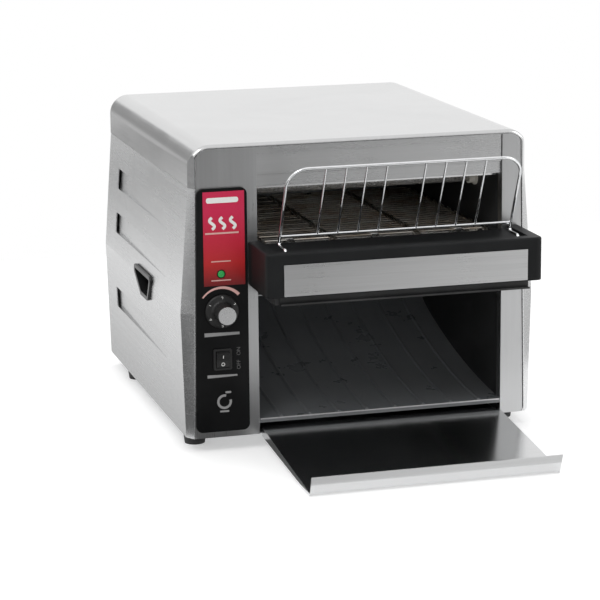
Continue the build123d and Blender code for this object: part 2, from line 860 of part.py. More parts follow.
def toothed_wheel(teeth, pitch, roller, width, bore, x, y, z, seat):
    """Toothed wheel on an x axis, with a round seat for a roller at the point seat."""
    radius = teeth * pitch / (2 * math.pi)
    phase = math.degrees(math.atan2(seat[1] - z, seat[0] - y))
    notch = roller + running_clearance
    disc = Circle(radius + tooth_rise)
    for k in range(teeth):
        angle = math.radians(phase + k * 360 / teeth)
        disc -= Pos(radius * math.cos(angle), radius * math.sin(angle)) * Circle(notch)
        outer = radius + tooth_rise
        disc -= Pos(outer * math.cos(angle), outer * math.sin(angle)) * Circle(notch * tooth_relief)
    disc -= Circle(bore)
    plane = Plane(origin=(x - width / 2, y, z), x_dir=(0, 1, 0), z_dir=(1, 0, 0))
    return extrude(plane * disc, amount=width)


def belt_points():
    """Rod centres round the belt loop, from the top of the drive wheel to the front."""
    count = 2 * belt_run_pitches + belt_teeth
    wheels = ((drive_y, belt_axis_z), belt_radius, (idler_y, belt_axis_z), belt_radius)
    return [loop_point(k * belt_pitch, *wheels) for k in range(count)]


def belt_band(x0, x1):
    """One edge band of the belt: a flat loop that the rods butt against."""
    def racetrack(radius):
        length = drive_y - idler_y + 2 * radius
        return Pos((drive_y + idler_y) / 2, belt_axis_z) * SlotOverall(length, 2 * radius)
    ring = racetrack(belt_radius + belt_rod_radius) - racetrack(belt_radius - belt_rod_radius)
    plane = Plane(origin=(x0, 0, 0), x_dir=(0, 1, 0), z_dir=(1, 0, 0))
    return extrude(plane * ring, amount=x1 - x0)


def belt_band_places():
    """Middles of the bands: one at each side of the belt and one between each two wheels."""
    half = belt_band_width / 2
    middle = [opening_centre_x - belt_wheel_spread / 2, opening_centre_x + belt_wheel_spread / 2]
    return [belt_left + half, *middle, belt_right - half]


def belt_bands():
    half = belt_band_width / 2
    return group([belt_band(x - half, x + half) for x in belt_band_places()])


def belt_rods():
    """Cross rods of the belt, in lengths that butt against its bands."""
    half = belt_band_width / 2
    places = belt_band_places()
    pieces = []
    for y, z in belt_points():
        for x0, x1 in zip(places, places[1:]):
            pieces.append(rod_x(x0 + half, x1 - half, y, z, belt_rod_radius))
    return group(pieces)


def bushes():
    """Flanged bushes for both shafts, one in each inner wall."""
    pieces = []
    for y in (idler_y, drive_y):
        for side, face in ((-1, opening_left), (1, opening_right)):
            tail = face + side * (sheet + bush_tail)
            head = face - side * bush_flange
            body = rod_x(min(face, tail), max(face, tail), y, belt_axis_z, bush_radius)
            body += rod_x(min(face, head), max(face, head), y, belt_axis_z, bush_flange_radius)
            body -= rod_x(min(head, tail) - sheet, max(head, tail) + sheet, y, belt_axis_z,
                          shaft_radius + running_clearance)
            pieces.append(body)
    return group(pieces)


def shaft_end_right():
    """Right end of both shafts, just past their bushes."""
    return opening_right + sheet + bush_tail + 2 * sheet


def drive_shaft():
    left = chain_x - sprocket_width / 2 - 2 * sheet
    return rod_x(left, shaft_end_right(), drive_y, belt_axis_z, shaft_radius)


def idler_shaft():
    left = opening_left - sheet - bush_tail - 2 * sheet
    return rod_x(left, shaft_end_right(), idler_y, belt_axis_z, shaft_radius)


def belt_wheels(y):
    """Toothed wheels that carry the belt on one shaft."""
    pieces = []
    for x in belt_wheel_places:
        pieces.append(toothed_wheel(belt_teeth, belt_pitch, belt_rod_radius, belt_wheel_width,
                                    shaft_radius, x, y, belt_axis_z,
                                    (y, belt_axis_z + belt_radius)))
    return group(pieces)


def chain_points():
    """Roller centres round the chain loop, from the shaft sprocket to the motor sprocket."""
    wheels = ((drive_y, belt_axis_z), sprocket_radius, (motor_y, motor_z), pinion_radius)
    return [loop_point(k * chain_pitch, *wheels) for k in range(chain_links)]


def chain_link_plate(start, end, x0):
    """Side plate that joins two rollers."""
    angle = math.degrees(math.atan2(end[1] - start[1], end[0] - start[0]))
    length = math.hypot(end[0] - start[0], end[1] - start[1]) + 2 * chain_plate_radius
    middle = Pos((start[0] + end[0]) / 2, (start[1] + end[1]) / 2)
    outline = middle * Rot(0, 0, angle) * SlotOverall(length, 2 * chain_plate_radius)
    plane = Plane(origin=(x0, 0, 0), x_dir=(0, 1, 0), z_dir=(1, 0, 0))
    return extrude(plane * outline, amount=chain_plate)


def drive_chain():
    points = chain_points()
    half = chain_roller_width / 2
    pieces = []
    for k, point in enumerate(points):
        following = points[(k + 1) % len(points)]
        step = half if k % 2 == 0 else half + chain_plate
        pieces.append(rod_x(chain_x - half, chain_x + half, *point, chain_roller_radius))
        pieces.append(chain_link_plate(point, following, chain_x + step))
        pieces.append(chain_link_plate(point, following, chain_x - step - chain_plate))
    return group(pieces)


def shaft_sprocket():
    return toothed_wheel(shaft_sprocket_teeth, chain_pitch, chain_roller_radius, sprocket_width,
                         shaft_radius, chain_x, drive_y, belt_axis_z, chain_points()[0])


def pinion_seat():
    """First roller that lies on the motor sprocket."""
    near = [p for p in chain_points()
            if abs(math.hypot(p[0] - motor_y, p[1] - motor_z) - pinion_radius) < running_clearance]
    return near[0]


def motor_sprocket():
    return toothed_wheel(motor_sprocket_teeth, chain_pitch, chain_roller_radius, sprocket_width,
                         motor_shaft_radius, chain_x, motor_y, motor_z, pinion_seat())


def motor_shaft():
    right = chain_x + sprocket_width / 2 + sheet
    return rod_x(motor_face_x - gearbox_depth / 2, right, motor_y, motor_z, motor_shaft_radius)


def motor_bracket():
    """Upright plate on a foot that is fixed to the base pan."""
    x1 = motor_face_x + motor_bracket_sheet
    top = motor_z + gearbox_size / 2
    path = [(x1, top), (x1, floor_top_z), (x1 - motor_bracket_foot, floor_top_z)]
    outline = band(path[::-1], motor_bracket_sheet)
    y0 = motor_y - motor_bracket_width / 2
    plate = prism_y(outline, y0, y0 + motor_bracket_width)
    return plate - rod_x(motor_face_x - sheet, x1 + sheet, motor_y, motor_z,
                         motor_shaft_radius + hole_clearance)


def gear_motor():
    half = gearbox_size / 2
    x0 = motor_face_x - gearbox_depth
    gearbox = block(x0, motor_face_x, motor_y - half, motor_y + half, motor_z - half, motor_z + half)
    gearbox = fillet(gearbox.edges().filter_by(Axis.X), 3 * sheet)
    motor = gearbox + rod_x(x0 - motor_length, x0, motor_y, motor_z, motor_radius)
    bore = motor_shaft_radius + running_clearance
    return motor - rod_x(motor_face_x - gearbox_depth / 2 - gap, motor_face_x + sheet,
                         motor_y, motor_z, bore)


# Heaters and reflectors

def heater_tubes(z):
    """Quartz tubes that run across the chamber at one height."""
    x0 = opening_left + heater_cap_length
    x1 = opening_right - heater_cap_length
    tubes = []
    for y in heater_places:
        tube = rod_x(x0, x1, y, z, heater_radius)
        tubes.append(tube - rod_x(x0 - sheet, x1 + sheet, y, z, heater_radius - heater_wall))
    return group(tubes)


def heater_filaments():
    x0 = opening_left + heater_cap_length
    x1 = opening_right - heater_cap_length
    wires = []
    for y in heater_places:
        for z in (upper_heater_z, lower_heater_z):
            wires.append(rod_x(x0, x1, y, z, filament_radius))
    return group(wires)


def heater_caps():
    """Ceramic end caps, seated in the inner walls."""
    caps = []
    for y in heater_places:
        for z in (upper_heater_z, lower_heater_z):
            for side, face in ((-1, opening_left), (1, opening_right)):
                tail = face + side * (sheet + heater_cap_tail)
                tip = face - side * heater_cap_length
                flange = face - side * heater_cap_flange_depth
                cap = rod_x(min(tail, tip), max(tail, tip), y, z, heater_cap_radius)
                cap += rod_x(min(face, flange), max(face, flange), y, z, heater_cap_flange)
                caps.append(cap)
    return group(caps)


def upper_reflector():
    z = belt_surface_z + upper_reflector_rise
    y0 = header_recess + header_depth + gap
    y1 = drive_y + belt_radius + reflector_margin
    path = [(y1, z + rail_flange), (y1, z), (y0, z), (y0, z + rail_flange)]
    return prism_x(band(path, -sheet), opening_left, opening_right)


def lower_reflector():
    """Shallow trough inside the belt loop; its ends reach the inner walls."""
    z = lower_heater_z - lower_reflector_drop
    y0 = idler_y + belt_radius + tooth_rise + 2 * sheet
    y1 = drive_y - belt_radius - tooth_rise - 2 * sheet
    path = [(y0, z + 2 * sheet), (y0 + 2 * sheet, z), (y1 - 2 * sheet, z), (y1, z + 2 * sheet)]
    return prism_x(band(path, sheet), opening_left, opening_right)


# Toast return

def chute_path():
    """Centre line of the return chute in the y-z plane, from its lip to its rear end."""
    start = (opening_centre_x, chute_front_y, chute_lip_z - sheet / 2)
    slope = chute_slopes[0]
    plane = Plane(origin=start, x_dir=(0, 1, 0), z_dir=(1, 0, 0))
    first = JernArc((0, 0), (math.cos(slope), math.sin(slope)), chute_front_radius, chute_front_turn)
    second = JernArc(first @ 1, first % 1, chute_rear_radius, chute_rear_turn)
    return plane * Wire([first, second])


def return_chute():
    """Polished curved sheet with raised ridges and a lip that turns down at the front."""
    path = chute_path()
    width = opening_right - opening_left
    section = Plane(origin=path @ 0, x_dir=(1, 0, 0), z_dir=path % 0) * Rectangle(width, sheet)
    chute = sweep(section, path=path)
    ridge = Circle(chute_rib_radius) - Pos(0, chute_rib_radius) * Rectangle(
        3 * chute_rib_radius, 2 * chute_rib_radius)
    for k in range(chute_rib_count):
        line = Pos((k - (chute_rib_count - 1) / 2) * chute_rib_pitch, 0, 0) * path
        rib = Plane(origin=line @ 0, x_dir=(1, 0, 0), z_dir=line % 0) * ridge
        chute += sweep(rib, path=line)
    lip = block(opening_left, opening_right, chute_front_y - sheet, chute_front_y,
                chute_lip_z - chute_lip_drop, chute_lip_z)
    return chute + lip


def rear_guide():
    """Sheet behind the belt that turns falling toast on to the chute."""
    end = chute_path() @ 1
    slope = chute_slopes[2]
    along = (math.cos(slope), math.sin(slope))
    behind = (along[1], -along[0])
    shift = sheet + gap
    foot = (end.Y - along[0] * guide_lap + behind[0] * shift / 2,
            end.Z - along[1] * guide_lap + behind[1] * shift / 2)
    rise = (guide_top_z - foot[1]) / along[1]
    head = (foot[0] + along[0] * rise, guide_top_z)
    tab = (panel_inner_y - gap, guide_top_z)
    foot_out = (foot[0] + behind[0] * gap, foot[1] + behind[1] * gap)
    head_out = (head[0] + behind[0] * gap, head[1])
    return prism_x(band([foot_out, head_out, tab], -sheet), opening_left, opening_right)


def heat_shield():
    """Ceiling of the toast exit, with flanges that turn down beside the inner walls."""
    x0 = opening_left
    x1 = opening_right
    top = shield_z + sheet
    path = [(x0, top - shield_flange), (x0, top), (x1, top), (x1, top - shield_flange)]
    y0 = column_flange + gap
    return prism_y(band(path, -sheet), y0, shield_rear_y)


def crumb_tray_runners():
    """Angles on the inner walls that carry the crumb tray."""
    z = crumb_tray_z - gap
    y0 = runner_front_y
    y1 = runner_rear_y
    left = [(opening_left, z + runner_height), (opening_left, z - crumb_sheet),
            (opening_left + runner_ledge, z - crumb_sheet)]
    right = [(opening_right - runner_ledge, z - crumb_sheet), (opening_right, z - crumb_sheet),
             (opening_right, z + runner_height)]
    return group([prism_y(band(left, crumb_sheet), y0, y1),
                  prism_y(band(right, crumb_sheet), y0, y1)])


def crumb_tray():
    x0 = opening_left + crumb_side_gap
    x1 = opening_right - crumb_side_gap
    y0 = crumb_front_y
    y1 = crumb_rear_y
    z0 = crumb_tray_z
    z1 = crumb_tray_z + crumb_wall_height
    tray = block(x0, x1, y0, y1, z0, z1)
    tray -= block(x0 + crumb_sheet, x1 - crumb_sheet, y0 + crumb_sheet, y1 - crumb_sheet,
                  z0 + crumb_sheet, z1 + crumb_sheet)
    lip_left = x0 + crumb_lip_overhang_left
    lip_right = x1 + crumb_lip_overhang_right
    tray += block(lip_left, lip_right, y0 - crumb_sheet, y0, z0, z1)
    pull = [(y0 - crumb_sheet, z0), (y0 - crumb_pull, z0), (y0 - crumb_pull, z0 + 2 * crumb_sheet)]
    return tray + prism_x(band(pull, -crumb_sheet), lip_left, lip_right)


def exit_tray():
    """Sloping tray with side flanges that turn down and a front lip that leans outwards."""
    x0 = opening_left + tray_side_gap
    x1 = opening_right - tray_side_gap
    lip_top = (-tray_reach, tray_front_z + tray_lip_rise)
    bend = (-tray_reach + tray_lip_run, tray_front_z)
    rear = (0, tray_level_z)
    tongue_z = floor_top_z + gap
    tongue = [(tray_tongue_run, tongue_z), (tray_rear_y, tongue_z)]
    tray = prism_x(band([lip_top, bend, rear, *tongue], sheet), x0, x1)
    flange = [bend, rear, (0, tray_level_z - tray_flange_rear),
              (bend[0], tray_front_z - tray_flange_front)]
    for x in (x0, x1 - sheet):
        tray += prism_x(flange, x, x + sheet)
    return tray


# Loading shelf and rack

def rack_sockets(radius, low):
    """Bars at the rack's two peg places, as bosses or holes in the shelf."""
    return [rod_z(low, deck_z, x, rack_peg_y, radius) for x in (rack_left, rack_right)]


def loading_shelf():
    """Black moulded shelf: a hollow shell with a sunk deck and a raised rim."""
    x0 = shelf_left
    x1 = shelf_right
    y0 = -shelf_reach
    shell = block(x0, x1, y0, 0, shelf_bottom_z, shelf_top_z)
    upright = shell.edges().filter_by(Axis.Z).group_by(Axis.Y)[0]
    shell = fillet(upright, shelf_corner)
    top = shell.faces().sort_by(Axis.Z)[-1].edges()
    shell = fillet([e for e in top if e.center().Y < -sheet], shelf_edge)
    shell -= block(x0 + shelf_wall, x1 - shelf_wall, y0 + shelf_wall, sheet,
                   shelf_bottom_z - sheet, deck_z - shelf_wall)
    shell -= block(x0 + shelf_rim_width, x1 - shelf_rim_width, y0 + shelf_rim_width, sheet,
                   deck_z, shelf_top_z + sheet)
    for boss in rack_sockets(rack_wire_radius + socket_wall, deck_z - rack_peg_depth - socket_wall):
        shell += boss
    for hole in rack_sockets(rack_wire_radius + running_clearance, deck_z - rack_peg_depth - gap):
        shell -= hole
    return shell


def shelf_trim():
    x0 = shelf_left + trim_end_left
    x1 = shelf_right - trim_end_right
    y1 = -shelf_reach
    return block(x0, x1, y1 - trim_thickness, y1, shelf_bottom_z + sheet,
                 shelf_bottom_z + sheet + trim_height)


def shelf_brackets():
    """Angles inside the shelf's ends, against the column faces."""
    z0 = shelf_bottom_z + 2 * sheet
    y0 = -shelf_reach + shelf_corner + shelf_wall
    left = shelf_left + shelf_wall
    right = shelf_right - shelf_wall
    left_path = [(left, y0), (left, 0), (left + bracket_foot, 0)]
    right_path = [(right, y0), (right, 0), (right - bracket_foot, 0)]
    return group([prism_z(band(left_path, -bracket_sheet), z0, z0 + bracket_height),
                  prism_z(band(right_path, bracket_sheet), z0, z0 + bracket_height)])


def rack_plane_y(z):
    """Depth of the leaning rack at a height."""
    return rack_base_y - rack_lean * (z - rack_foot_z) / rack_height


def loading_rack():
    """Wire rack that leans out over the shelf and lifts out of two sockets."""
    top = rack_foot_z + rack_height
    low = deck_z - rack_peg_depth
    points = []
    for x in (rack_left, rack_right):
        side = [(x, rack_peg_y, low), (x, rack_peg_y, rack_foot_z), (x, rack_base_y, rack_foot_z),
                (x, rack_plane_y(top), top)]
        points += side if x == rack_left else side[::-1]
    radii = [rack_small_bend, rack_small_bend, rack_corner, rack_corner, rack_small_bend,
             rack_small_bend]
    path = FilletPolyline(*points, radius=radii)
    section = Plane(origin=path @ 0, z_dir=path % 0) * Circle(rack_wire_radius)
    rack = sweep(section, path=path)
    rail_z = rack_foot_z + rack_rail_height
    rack += rod_x(rack_left, rack_right, rack_plane_y(rail_z), rail_z, rack_wire_radius)
    middle = (rack_left + rack_right) / 2
    for lane in (-rack_lane_offset, rack_lane_offset):
        for k in range(rack_lane_bars):
            x = middle + lane + (k - (rack_lane_bars - 1) / 2) * rack_bar_spacing
            rack += bar((x, rack_plane_y(rail_z), rail_z), (x, rack_plane_y(top), top),
                        rack_bar_radius)
    return rack


# Cooling and wiring

def fan_housing():
    half = fan_size / 2
    y0 = panel_inner_y - fan_depth
    housing = block(fan_x - half, fan_x + half, y0, panel_inner_y, fan_z - half, fan_z + half)
    housing = fillet(housing.edges().filter_by(Axis.Y), 4 * sheet)
    housing -= rod_y(y0 - sheet, panel_inner_y + sheet, fan_x, fan_z, fan_bore)
    arm_y = panel_inner_y - fan_arm_depth
    for angle in (45, 135):
        arm = Box(2 * fan_bore + 2 * sheet, fan_arm_depth, fan_arm_width)
        housing += Pos(fan_x, arm_y + fan_arm_depth / 2, fan_z) * Rot(0, angle, 0) * arm
    housing += rod_y(arm_y, panel_inner_y, fan_x, fan_z, fan_hub_radius)
    housing += rod_y(y0 + 2 * sheet, arm_y, fan_x, fan_z, fan_axle_radius)
    for x, z in back_screw_places()[:4]:
        housing -= rod_y(y0 - sheet, panel_inner_y + sheet, x, z,
                         screw_shank_radius + hole_clearance)
    return housing


def fan_rotor():
    y0 = panel_inner_y - fan_depth + sheet
    y1 = panel_inner_y - fan_arm_depth - gap
    rotor = rod_y(y0, y1, fan_x, fan_z, fan_hub_radius)
    length = fan_bore - fan_hub_radius - 2 * gap
    chord = (y1 - y0 - 2 * gap) / math.cos(math.radians(fan_blade_pitch))
    for k in range(fan_blade_count):
        blade = Box(length + sheet, chord, fan_blade_thickness)
        blade = Pos(fan_hub_radius + (length - sheet) / 2, 0, 0) * Rot(fan_blade_pitch, 0, 0) * blade
        turn = Pos(fan_x, (y0 + y1) / 2, fan_z) * Rot(0, k * 360 / fan_blade_count, 0)
        rotor += turn * blade
    rotor &= rod_y(y0, y1, fan_x, fan_z, fan_bore - gap)
    return rotor - rod_y(y0 - sheet, y1 + sheet, fan_x, fan_z, fan_axle_radius + running_clearance)


def fan_guard():
    y0 = panel_back_y
    y1 = panel_back_y + guard_wire
    half = guard_wire / 2
    guard = None
    for k in range(guard_ring_count):
        radius = (k + 1) * guard_ring_spacing
        ring = rod_y(y0, y1, fan_x, fan_z, radius + half) - rod_y(y0 - half, y1 + half, fan_x,
                                                                    fan_z, radius - half)
        guard = ring if guard is None else guard + ring
    reach = guard_ring_count * guard_ring_spacing
    for angle in (0, 90):
        spoke = Box(2 * reach, guard_wire, guard_wire)
        guard += Pos(fan_x, (y0 + y1) / 2, fan_z) * Rot(0, angle, 0) * spoke
    return guard


def cord_gland():
    flange = rod_y(panel_back_y, body_depth + rear_projection, gland_x, gland_z, gland_flange_radius)
    rim = flange.edges().filter_by(GeomType.CIRCLE).sort_by(Axis.Y)[-1]
    flange = fillet(rim, sheet)
    gland = flange + rod_y(panel_back_y - gland_tail, panel_back_y, gland_x, gland_z,
                           gland_body_radius)
    return gland - rod_y(panel_back_y - 2 * gland_tail, body_depth + 2 * rear_projection,
                         gland_x, gland_z, gland_bore_radius)


def terminal_block():
    x0 = gland_x - terminal_width / 2
    y1 = panel_inner_y - fan_depth - gland_tail
    top = floor_top_z + terminal_height
    body = block(x0, x0 + terminal_width, y1 - terminal_depth, y1, floor_top_z, top)
    step = terminal_width / terminal_count
    for k in range(terminal_count):
        x = x0 + (k + 0.5) * step
        body -= rod_z(floor_top_z + terminal_height / 2, top + sheet, x, y1 - terminal_depth / 2,
                      2 * screw_shank_radius)
        body -= block(x - 2 * sheet, x + 2 * sheet, y1 - terminal_depth - sheet,
                      y1 - terminal_depth + 4 * sheet, floor_top_z + 3 * sheet, top - 4 * sheet)
    return body


def control_board():
    """Circuit board on standoffs beside the left inner wall, with its larger parts."""
    x1 = wall_left - board_standoff
    x0 = x1 - board_thickness
    y0 = board_front_y
    y1 = board_front_y + board_length
    z0 = board_bottom_z
    z1 = board_bottom_z + board_height
    board = block(x0, x1, y0, y1, z0, z1)
    for y in (y0 + board_inset, y1 - board_inset):
        for z in (z0 + board_inset, z1 - board_inset):
            board += rod_x(x1, wall_left, y, z, 2 * screw_shank_radius)
    relay = board_height / 4
    board += block(x0 - relay, x0, y0 + board_inset, y0 + board_inset + relay,
                   z0 + 2 * board_inset, z0 + 2 * board_inset + relay)
    for k in range(5):
        y = y1 - 2 * board_inset - k * 3 * sheet
        board += block(x0 - relay, x0, y - sheet, y, z0 + 2 * board_inset, z1 - 2 * board_inset)
    return board


def back_screws():
    return group([screw_y(x, panel_back_y, z) for x, z in back_screw_places()])


def cover_screws():
    z = skirt_z + joggle_height / 2
    return group([screw_y(x, body_depth, z) for x in (-screw_spread, 0, screw_spread)])


def mirrored(piece):
    return mirror(piece, about=Plane.YZ)


def all_pieces():
    """Every node of the toaster by name."""
    return {
        "top_cover": top_cover(),
        "right_side_panel": right_side_panel(),
        "left_side_panel": mirrored(right_side_panel()),
        "left_column": left_column(),
        "right_column": right_column(),
        "front_fascia": front_fascia(),
        "header_rail": header_rail(),
        "back_panel": back_panel(),
        "base_pan": base_pan(),
        "feet": feet(),
        "left_inner_wall": inner_wall(-1),
        "right_inner_wall": inner_wall(1),
        "right_hand_hold": hand_hold(),
        "left_hand_hold": mirrored(hand_hold()),
        "control_panel": control_panel(),
        "panel_overlay": panel_overlay(),
        "indicator_lamp": indicator_lamp(),
        "speed_control": speed_control(),
        "knob_shaft": knob_shaft(),
        "speed_knob": speed_knob(),
        "knob_cap": knob_cap(),
        "switch_housing": switch_housing(),
        "rocker": rocker(),
        "belt_bands": belt_bands(),
        "belt_rods": belt_rods(),
        "bushes": bushes(),
        "drive_shaft": drive_shaft(),
        "idler_shaft": idler_shaft(),
        "drive_belt_wheels": belt_wheels(drive_y),
        "idler_belt_wheels": belt_wheels(idler_y),
        "drive_chain": drive_chain(),
        "shaft_sprocket": shaft_sprocket(),
        "motor_sprocket": motor_sprocket(),
        "motor_shaft": motor_shaft(),
        "motor_bracket": motor_bracket(),
        "gear_motor": gear_motor(),
        "upper_heater_tubes": heater_tubes(upper_heater_z),
        "lower_heater_tubes": heater_tubes(lower_heater_z),
        "heater_filaments": heater_filaments(),
        "heater_caps": heater_caps(),
        "upper_reflector": upper_reflector(),
        "lower_reflector": lower_reflector(),
        "return_chute": return_chute(),
        "rear_guide": rear_guide(),
        "heat_shield": heat_shield(),
        "crumb_tray_runners": crumb_tray_runners(),
        "crumb_tray": crumb_tray(),
        "exit_tray": exit_tray(),
        "loading_shelf": loading_shelf(),
        "shelf_trim": shelf_trim(),
        "shelf_brackets": shelf_brackets(),
        "loading_rack": loading_rack(),
        "fan_housing": fan_housing(),
        "fan_rotor": fan_rotor(),
        "fan_guard": fan_guard(),
        "cord_gland": cord_gland(),
        "terminal_block": terminal_block(),
        "control_board": control_board(),
        "back_screws": back_screws(),
        "cover_screws": cover_screws(),
    }


def place_in_row():
    """Move that puts the origin under the middle of the whole toaster."""
    return Pos(0, (tray_reach - body_depth - rear_projection) / 2, 0)


def write_parts():
    os.makedirs("parts", exist_ok=True)
    for name, piece in all_pieces().items():
        export_step(place_in_row() * piece, f"parts/{name}.step")


write_parts()
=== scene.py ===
import math
import random

import bmesh
import bpy
from mathutils import Matrix, Vector

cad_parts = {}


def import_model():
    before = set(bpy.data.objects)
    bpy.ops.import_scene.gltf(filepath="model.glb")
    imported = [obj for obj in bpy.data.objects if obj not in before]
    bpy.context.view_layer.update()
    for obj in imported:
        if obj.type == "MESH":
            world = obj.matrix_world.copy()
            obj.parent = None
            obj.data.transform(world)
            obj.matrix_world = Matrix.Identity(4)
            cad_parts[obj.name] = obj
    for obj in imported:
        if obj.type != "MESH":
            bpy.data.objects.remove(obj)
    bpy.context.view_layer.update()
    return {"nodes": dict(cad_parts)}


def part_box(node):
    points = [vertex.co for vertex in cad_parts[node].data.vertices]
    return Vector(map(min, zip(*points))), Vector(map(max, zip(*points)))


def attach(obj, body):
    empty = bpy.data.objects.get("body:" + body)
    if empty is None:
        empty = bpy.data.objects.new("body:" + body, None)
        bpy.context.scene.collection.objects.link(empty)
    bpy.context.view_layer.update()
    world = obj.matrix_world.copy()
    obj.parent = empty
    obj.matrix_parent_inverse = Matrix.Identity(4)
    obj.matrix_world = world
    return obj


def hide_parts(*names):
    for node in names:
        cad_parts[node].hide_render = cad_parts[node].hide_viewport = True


SEED = 11

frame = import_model()
CAD = frame["nodes"]
random.seed(SEED)

FRONT_Y = -0.111          # row y of the column faces
BELT_CENTRE_X = 0.0215


# ---------------------------------------------------------------- shader helpers

# Colour sockets of a Mix node, by number because its float and vector sockets share their names
MIX_FACTOR = 0
MIX_A = 6
MIX_B = 7
MIX_RESULT = 2


class Shader:
    """A node material with short calls to add and join its nodes."""

    def __init__(self, name, **sockets):
        self.material = bpy.data.materials.new(name)
        self.material.use_nodes = True
        self.tree = self.material.node_tree
        self.bsdf = self.tree.nodes["Principled BSDF"]
        for socket, value in sockets.items():
            self.bsdf.inputs[socket.replace("_", " ")].default_value = value

    def add(self, kind, inputs=None, **settings):
        node = self.tree.nodes.new("ShaderNode" + kind)
        for key, value in settings.items():
            setattr(node, key, value)
        for key, value in (inputs or {}).items():
            if isinstance(value, bpy.types.NodeSocket):
                self.tree.links.new(value, node.inputs[key])
            else:
                node.inputs[key].default_value = value
        return node

    def join(self, source, socket):
        self.tree.links.new(source, self.bsdf.inputs[socket])

    def coords(self, scale=(1, 1, 1)):
        """Row-frame metres, stretched by a scale per axis."""
        place = self.add("TexCoord").outputs["Object"]
        return self.add("Mapping", {"Vector": place, "Scale": scale}).outputs["Vector"]

    def noise(self, scale, detail=3.0, rough=0.55, coords=None, distort=0.0):
        return self.add("TexNoise", {"Vector": coords or self.coords(), "Scale": scale,
                                     "Detail": detail, "Roughness": rough,
                                     "Distortion": distort}).outputs["Fac"]

    def spread(self, value, low, high, lowest=0.3, highest=0.7):
        return self.add("MapRange", {"Value": value, "From Min": lowest, "From Max": highest,
                                     "To Min": low, "To Max": high}).outputs["Result"]

    def blend(self, factor, one, other):
        """Colour between one and the other."""
        node = self.add("Mix", {MIX_FACTOR: factor, MIX_A: one, MIX_B: other}, data_type="RGBA")
        return node.outputs[MIX_RESULT]

    def maths(self, operation, *values):
        return self.add("Math", dict(enumerate(values)), operation=operation).outputs[0]

    def bump(self, height, distance, strength=1.0, edge=None):
        inputs = {"Height": height, "Distance": distance, "Strength": strength}
        if edge:
            inputs["Normal"] = self.add("Bevel", {"Radius": edge}, samples=4).outputs["Normal"]
        self.join(self.add("Bump", inputs).outputs["Normal"], "Normal")


def rgb(r, g, b):
    return (r, g, b, 1.0)


def grey(value, tint=0.0):
    return (value * (1 - tint), value, value * (1 + tint), 1.0)


# ---------------------------------------------------------------- materials

def brushed(name, colour, along, rough, contrast=0.06, edge=0.0005):
    """Brushed sheet: long fine scratches along one axis, faint handling marks over them."""
    s = Shader(name, Metallic=1.0)
    fine = [1500.0, 1500.0, 1500.0]
    wide = [260.0, 260.0, 260.0]
    fine["xyz".index(along)] = 14.0
    wide["xyz".index(along)] = 2.5
    scratches = s.noise(1.0, 4.0, 0.7, s.coords(fine))
    bands = s.noise(1.0, 3.0, 0.6, s.coords(wide))
    marks = s.noise(9.0, 4.0, 0.6, distort=0.6)
    both = s.maths("ADD", s.maths("MULTIPLY", scratches, 0.55), s.maths("MULTIPLY", bands, 0.45))
    dark = [c * (1 - contrast) for c in colour[:3]] + [1.0]
    light = [min(1.0, c * (1 + contrast * 0.6)) for c in colour[:3]] + [1.0]
    s.join(s.blend(s.spread(both, 0, 1), dark, light), "Base Color")
    base = s.spread(both, rough - 0.03, rough + 0.035)
    s.join(s.maths("ADD", base, s.spread(marks, -0.02, 0.03, 0.35, 0.65)), "Roughness")
    s.bump(both, 0.00004, 0.35, edge)
    return s.material


def zinc(name, colour=grey(0.55, 0.02)):
    """Galvanised sheet with a faint spangle."""
    s = Shader(name, Metallic=0.9)
    cells = s.add("TexVoronoi", {"Vector": s.coords(), "Scale": 85.0}, feature="F1")
    tone = s.add("SeparateColor", {"Color": cells.outputs["Color"]}).outputs[0]
    dark = [c * 0.82 for c in colour[:3]] + [1.0]
    s.join(s.blend(s.maths("MULTIPLY", tone, 0.8), dark, colour), "Base Color")
    stain = s.noise(14.0, 5.0)
    s.join(s.maths("ADD", s.spread(tone, 0.32, 0.48, 0, 1), s.spread(stain, -0.05, 0.08)),
           "Roughness")
    s.bump(stain, 0.0001, 0.4, 0.0004)
    return s.material


def plastic(name, colour, rough, grain=2600.0, depth=0.00004, shine=0.5, edge=0.0006):
    """Moulded plastic: fine grain, slight tone change, a little shine on handled areas."""
    s = Shader(name, Specular_IOR_Level=shine)
    fine = s.noise(grain, 2.0)
    broad = s.noise(16.0, 4.0)
    light = [c * 1.35 + 0.003 for c in colour[:3]] + [1.0]
    s.join(s.blend(s.spread(broad, 0, 1), colour, light), "Base Color")
    s.join(s.maths("ADD", s.spread(fine, rough - 0.03, rough + 0.04),
                   s.spread(broad, -0.05, 0.06)), "Roughness")
    s.bump(fine, depth, 0.6, edge)
    return s.material


def enamel(name, colour, rough, coat=0.35):
    """Glossy baked coating with slight orange peel and a thin film of dust."""
    s = Shader(name, Coat_Weight=coat, Coat_Roughness=0.16)
    peel = s.noise(420.0, 2.0)
    film = s.noise(22.0, 5.0, 0.65)
    dusty = [c + 0.02 for c in colour[:3]] + [1.0]
    s.join(s.blend(s.spread(film, 0, 1, 0.42, 0.72), colour, dusty), "Base Color")
    s.join(s.spread(film, rough, rough + 0.14, 0.35, 0.75), "Roughness")
    s.bump(peel, 0.00005, 0.5, 0.0004)
    return s.material


def polished(name, colour, rough, wave=0.25):
    """Bright metal with faint swirls."""
    s = Shader(name, Metallic=1.0)
    swirl = s.noise(60.0, 5.0, 0.6, distort=2.0)
    fine = s.noise(900.0, 2.0)
    dark = [c * 0.93 for c in colour[:3]] + [1.0]
    s.join(s.blend(s.spread(swirl, 0, 1), dark, colour), "Base Color")
    s.join(s.maths("ADD", s.spread(swirl, rough * 0.7, rough * 1.3),
                   s.spread(fine, -0.01, 0.015)), "Roughness")
    s.bump(fine, 0.00002, wave, 0.0003)
    return s.material


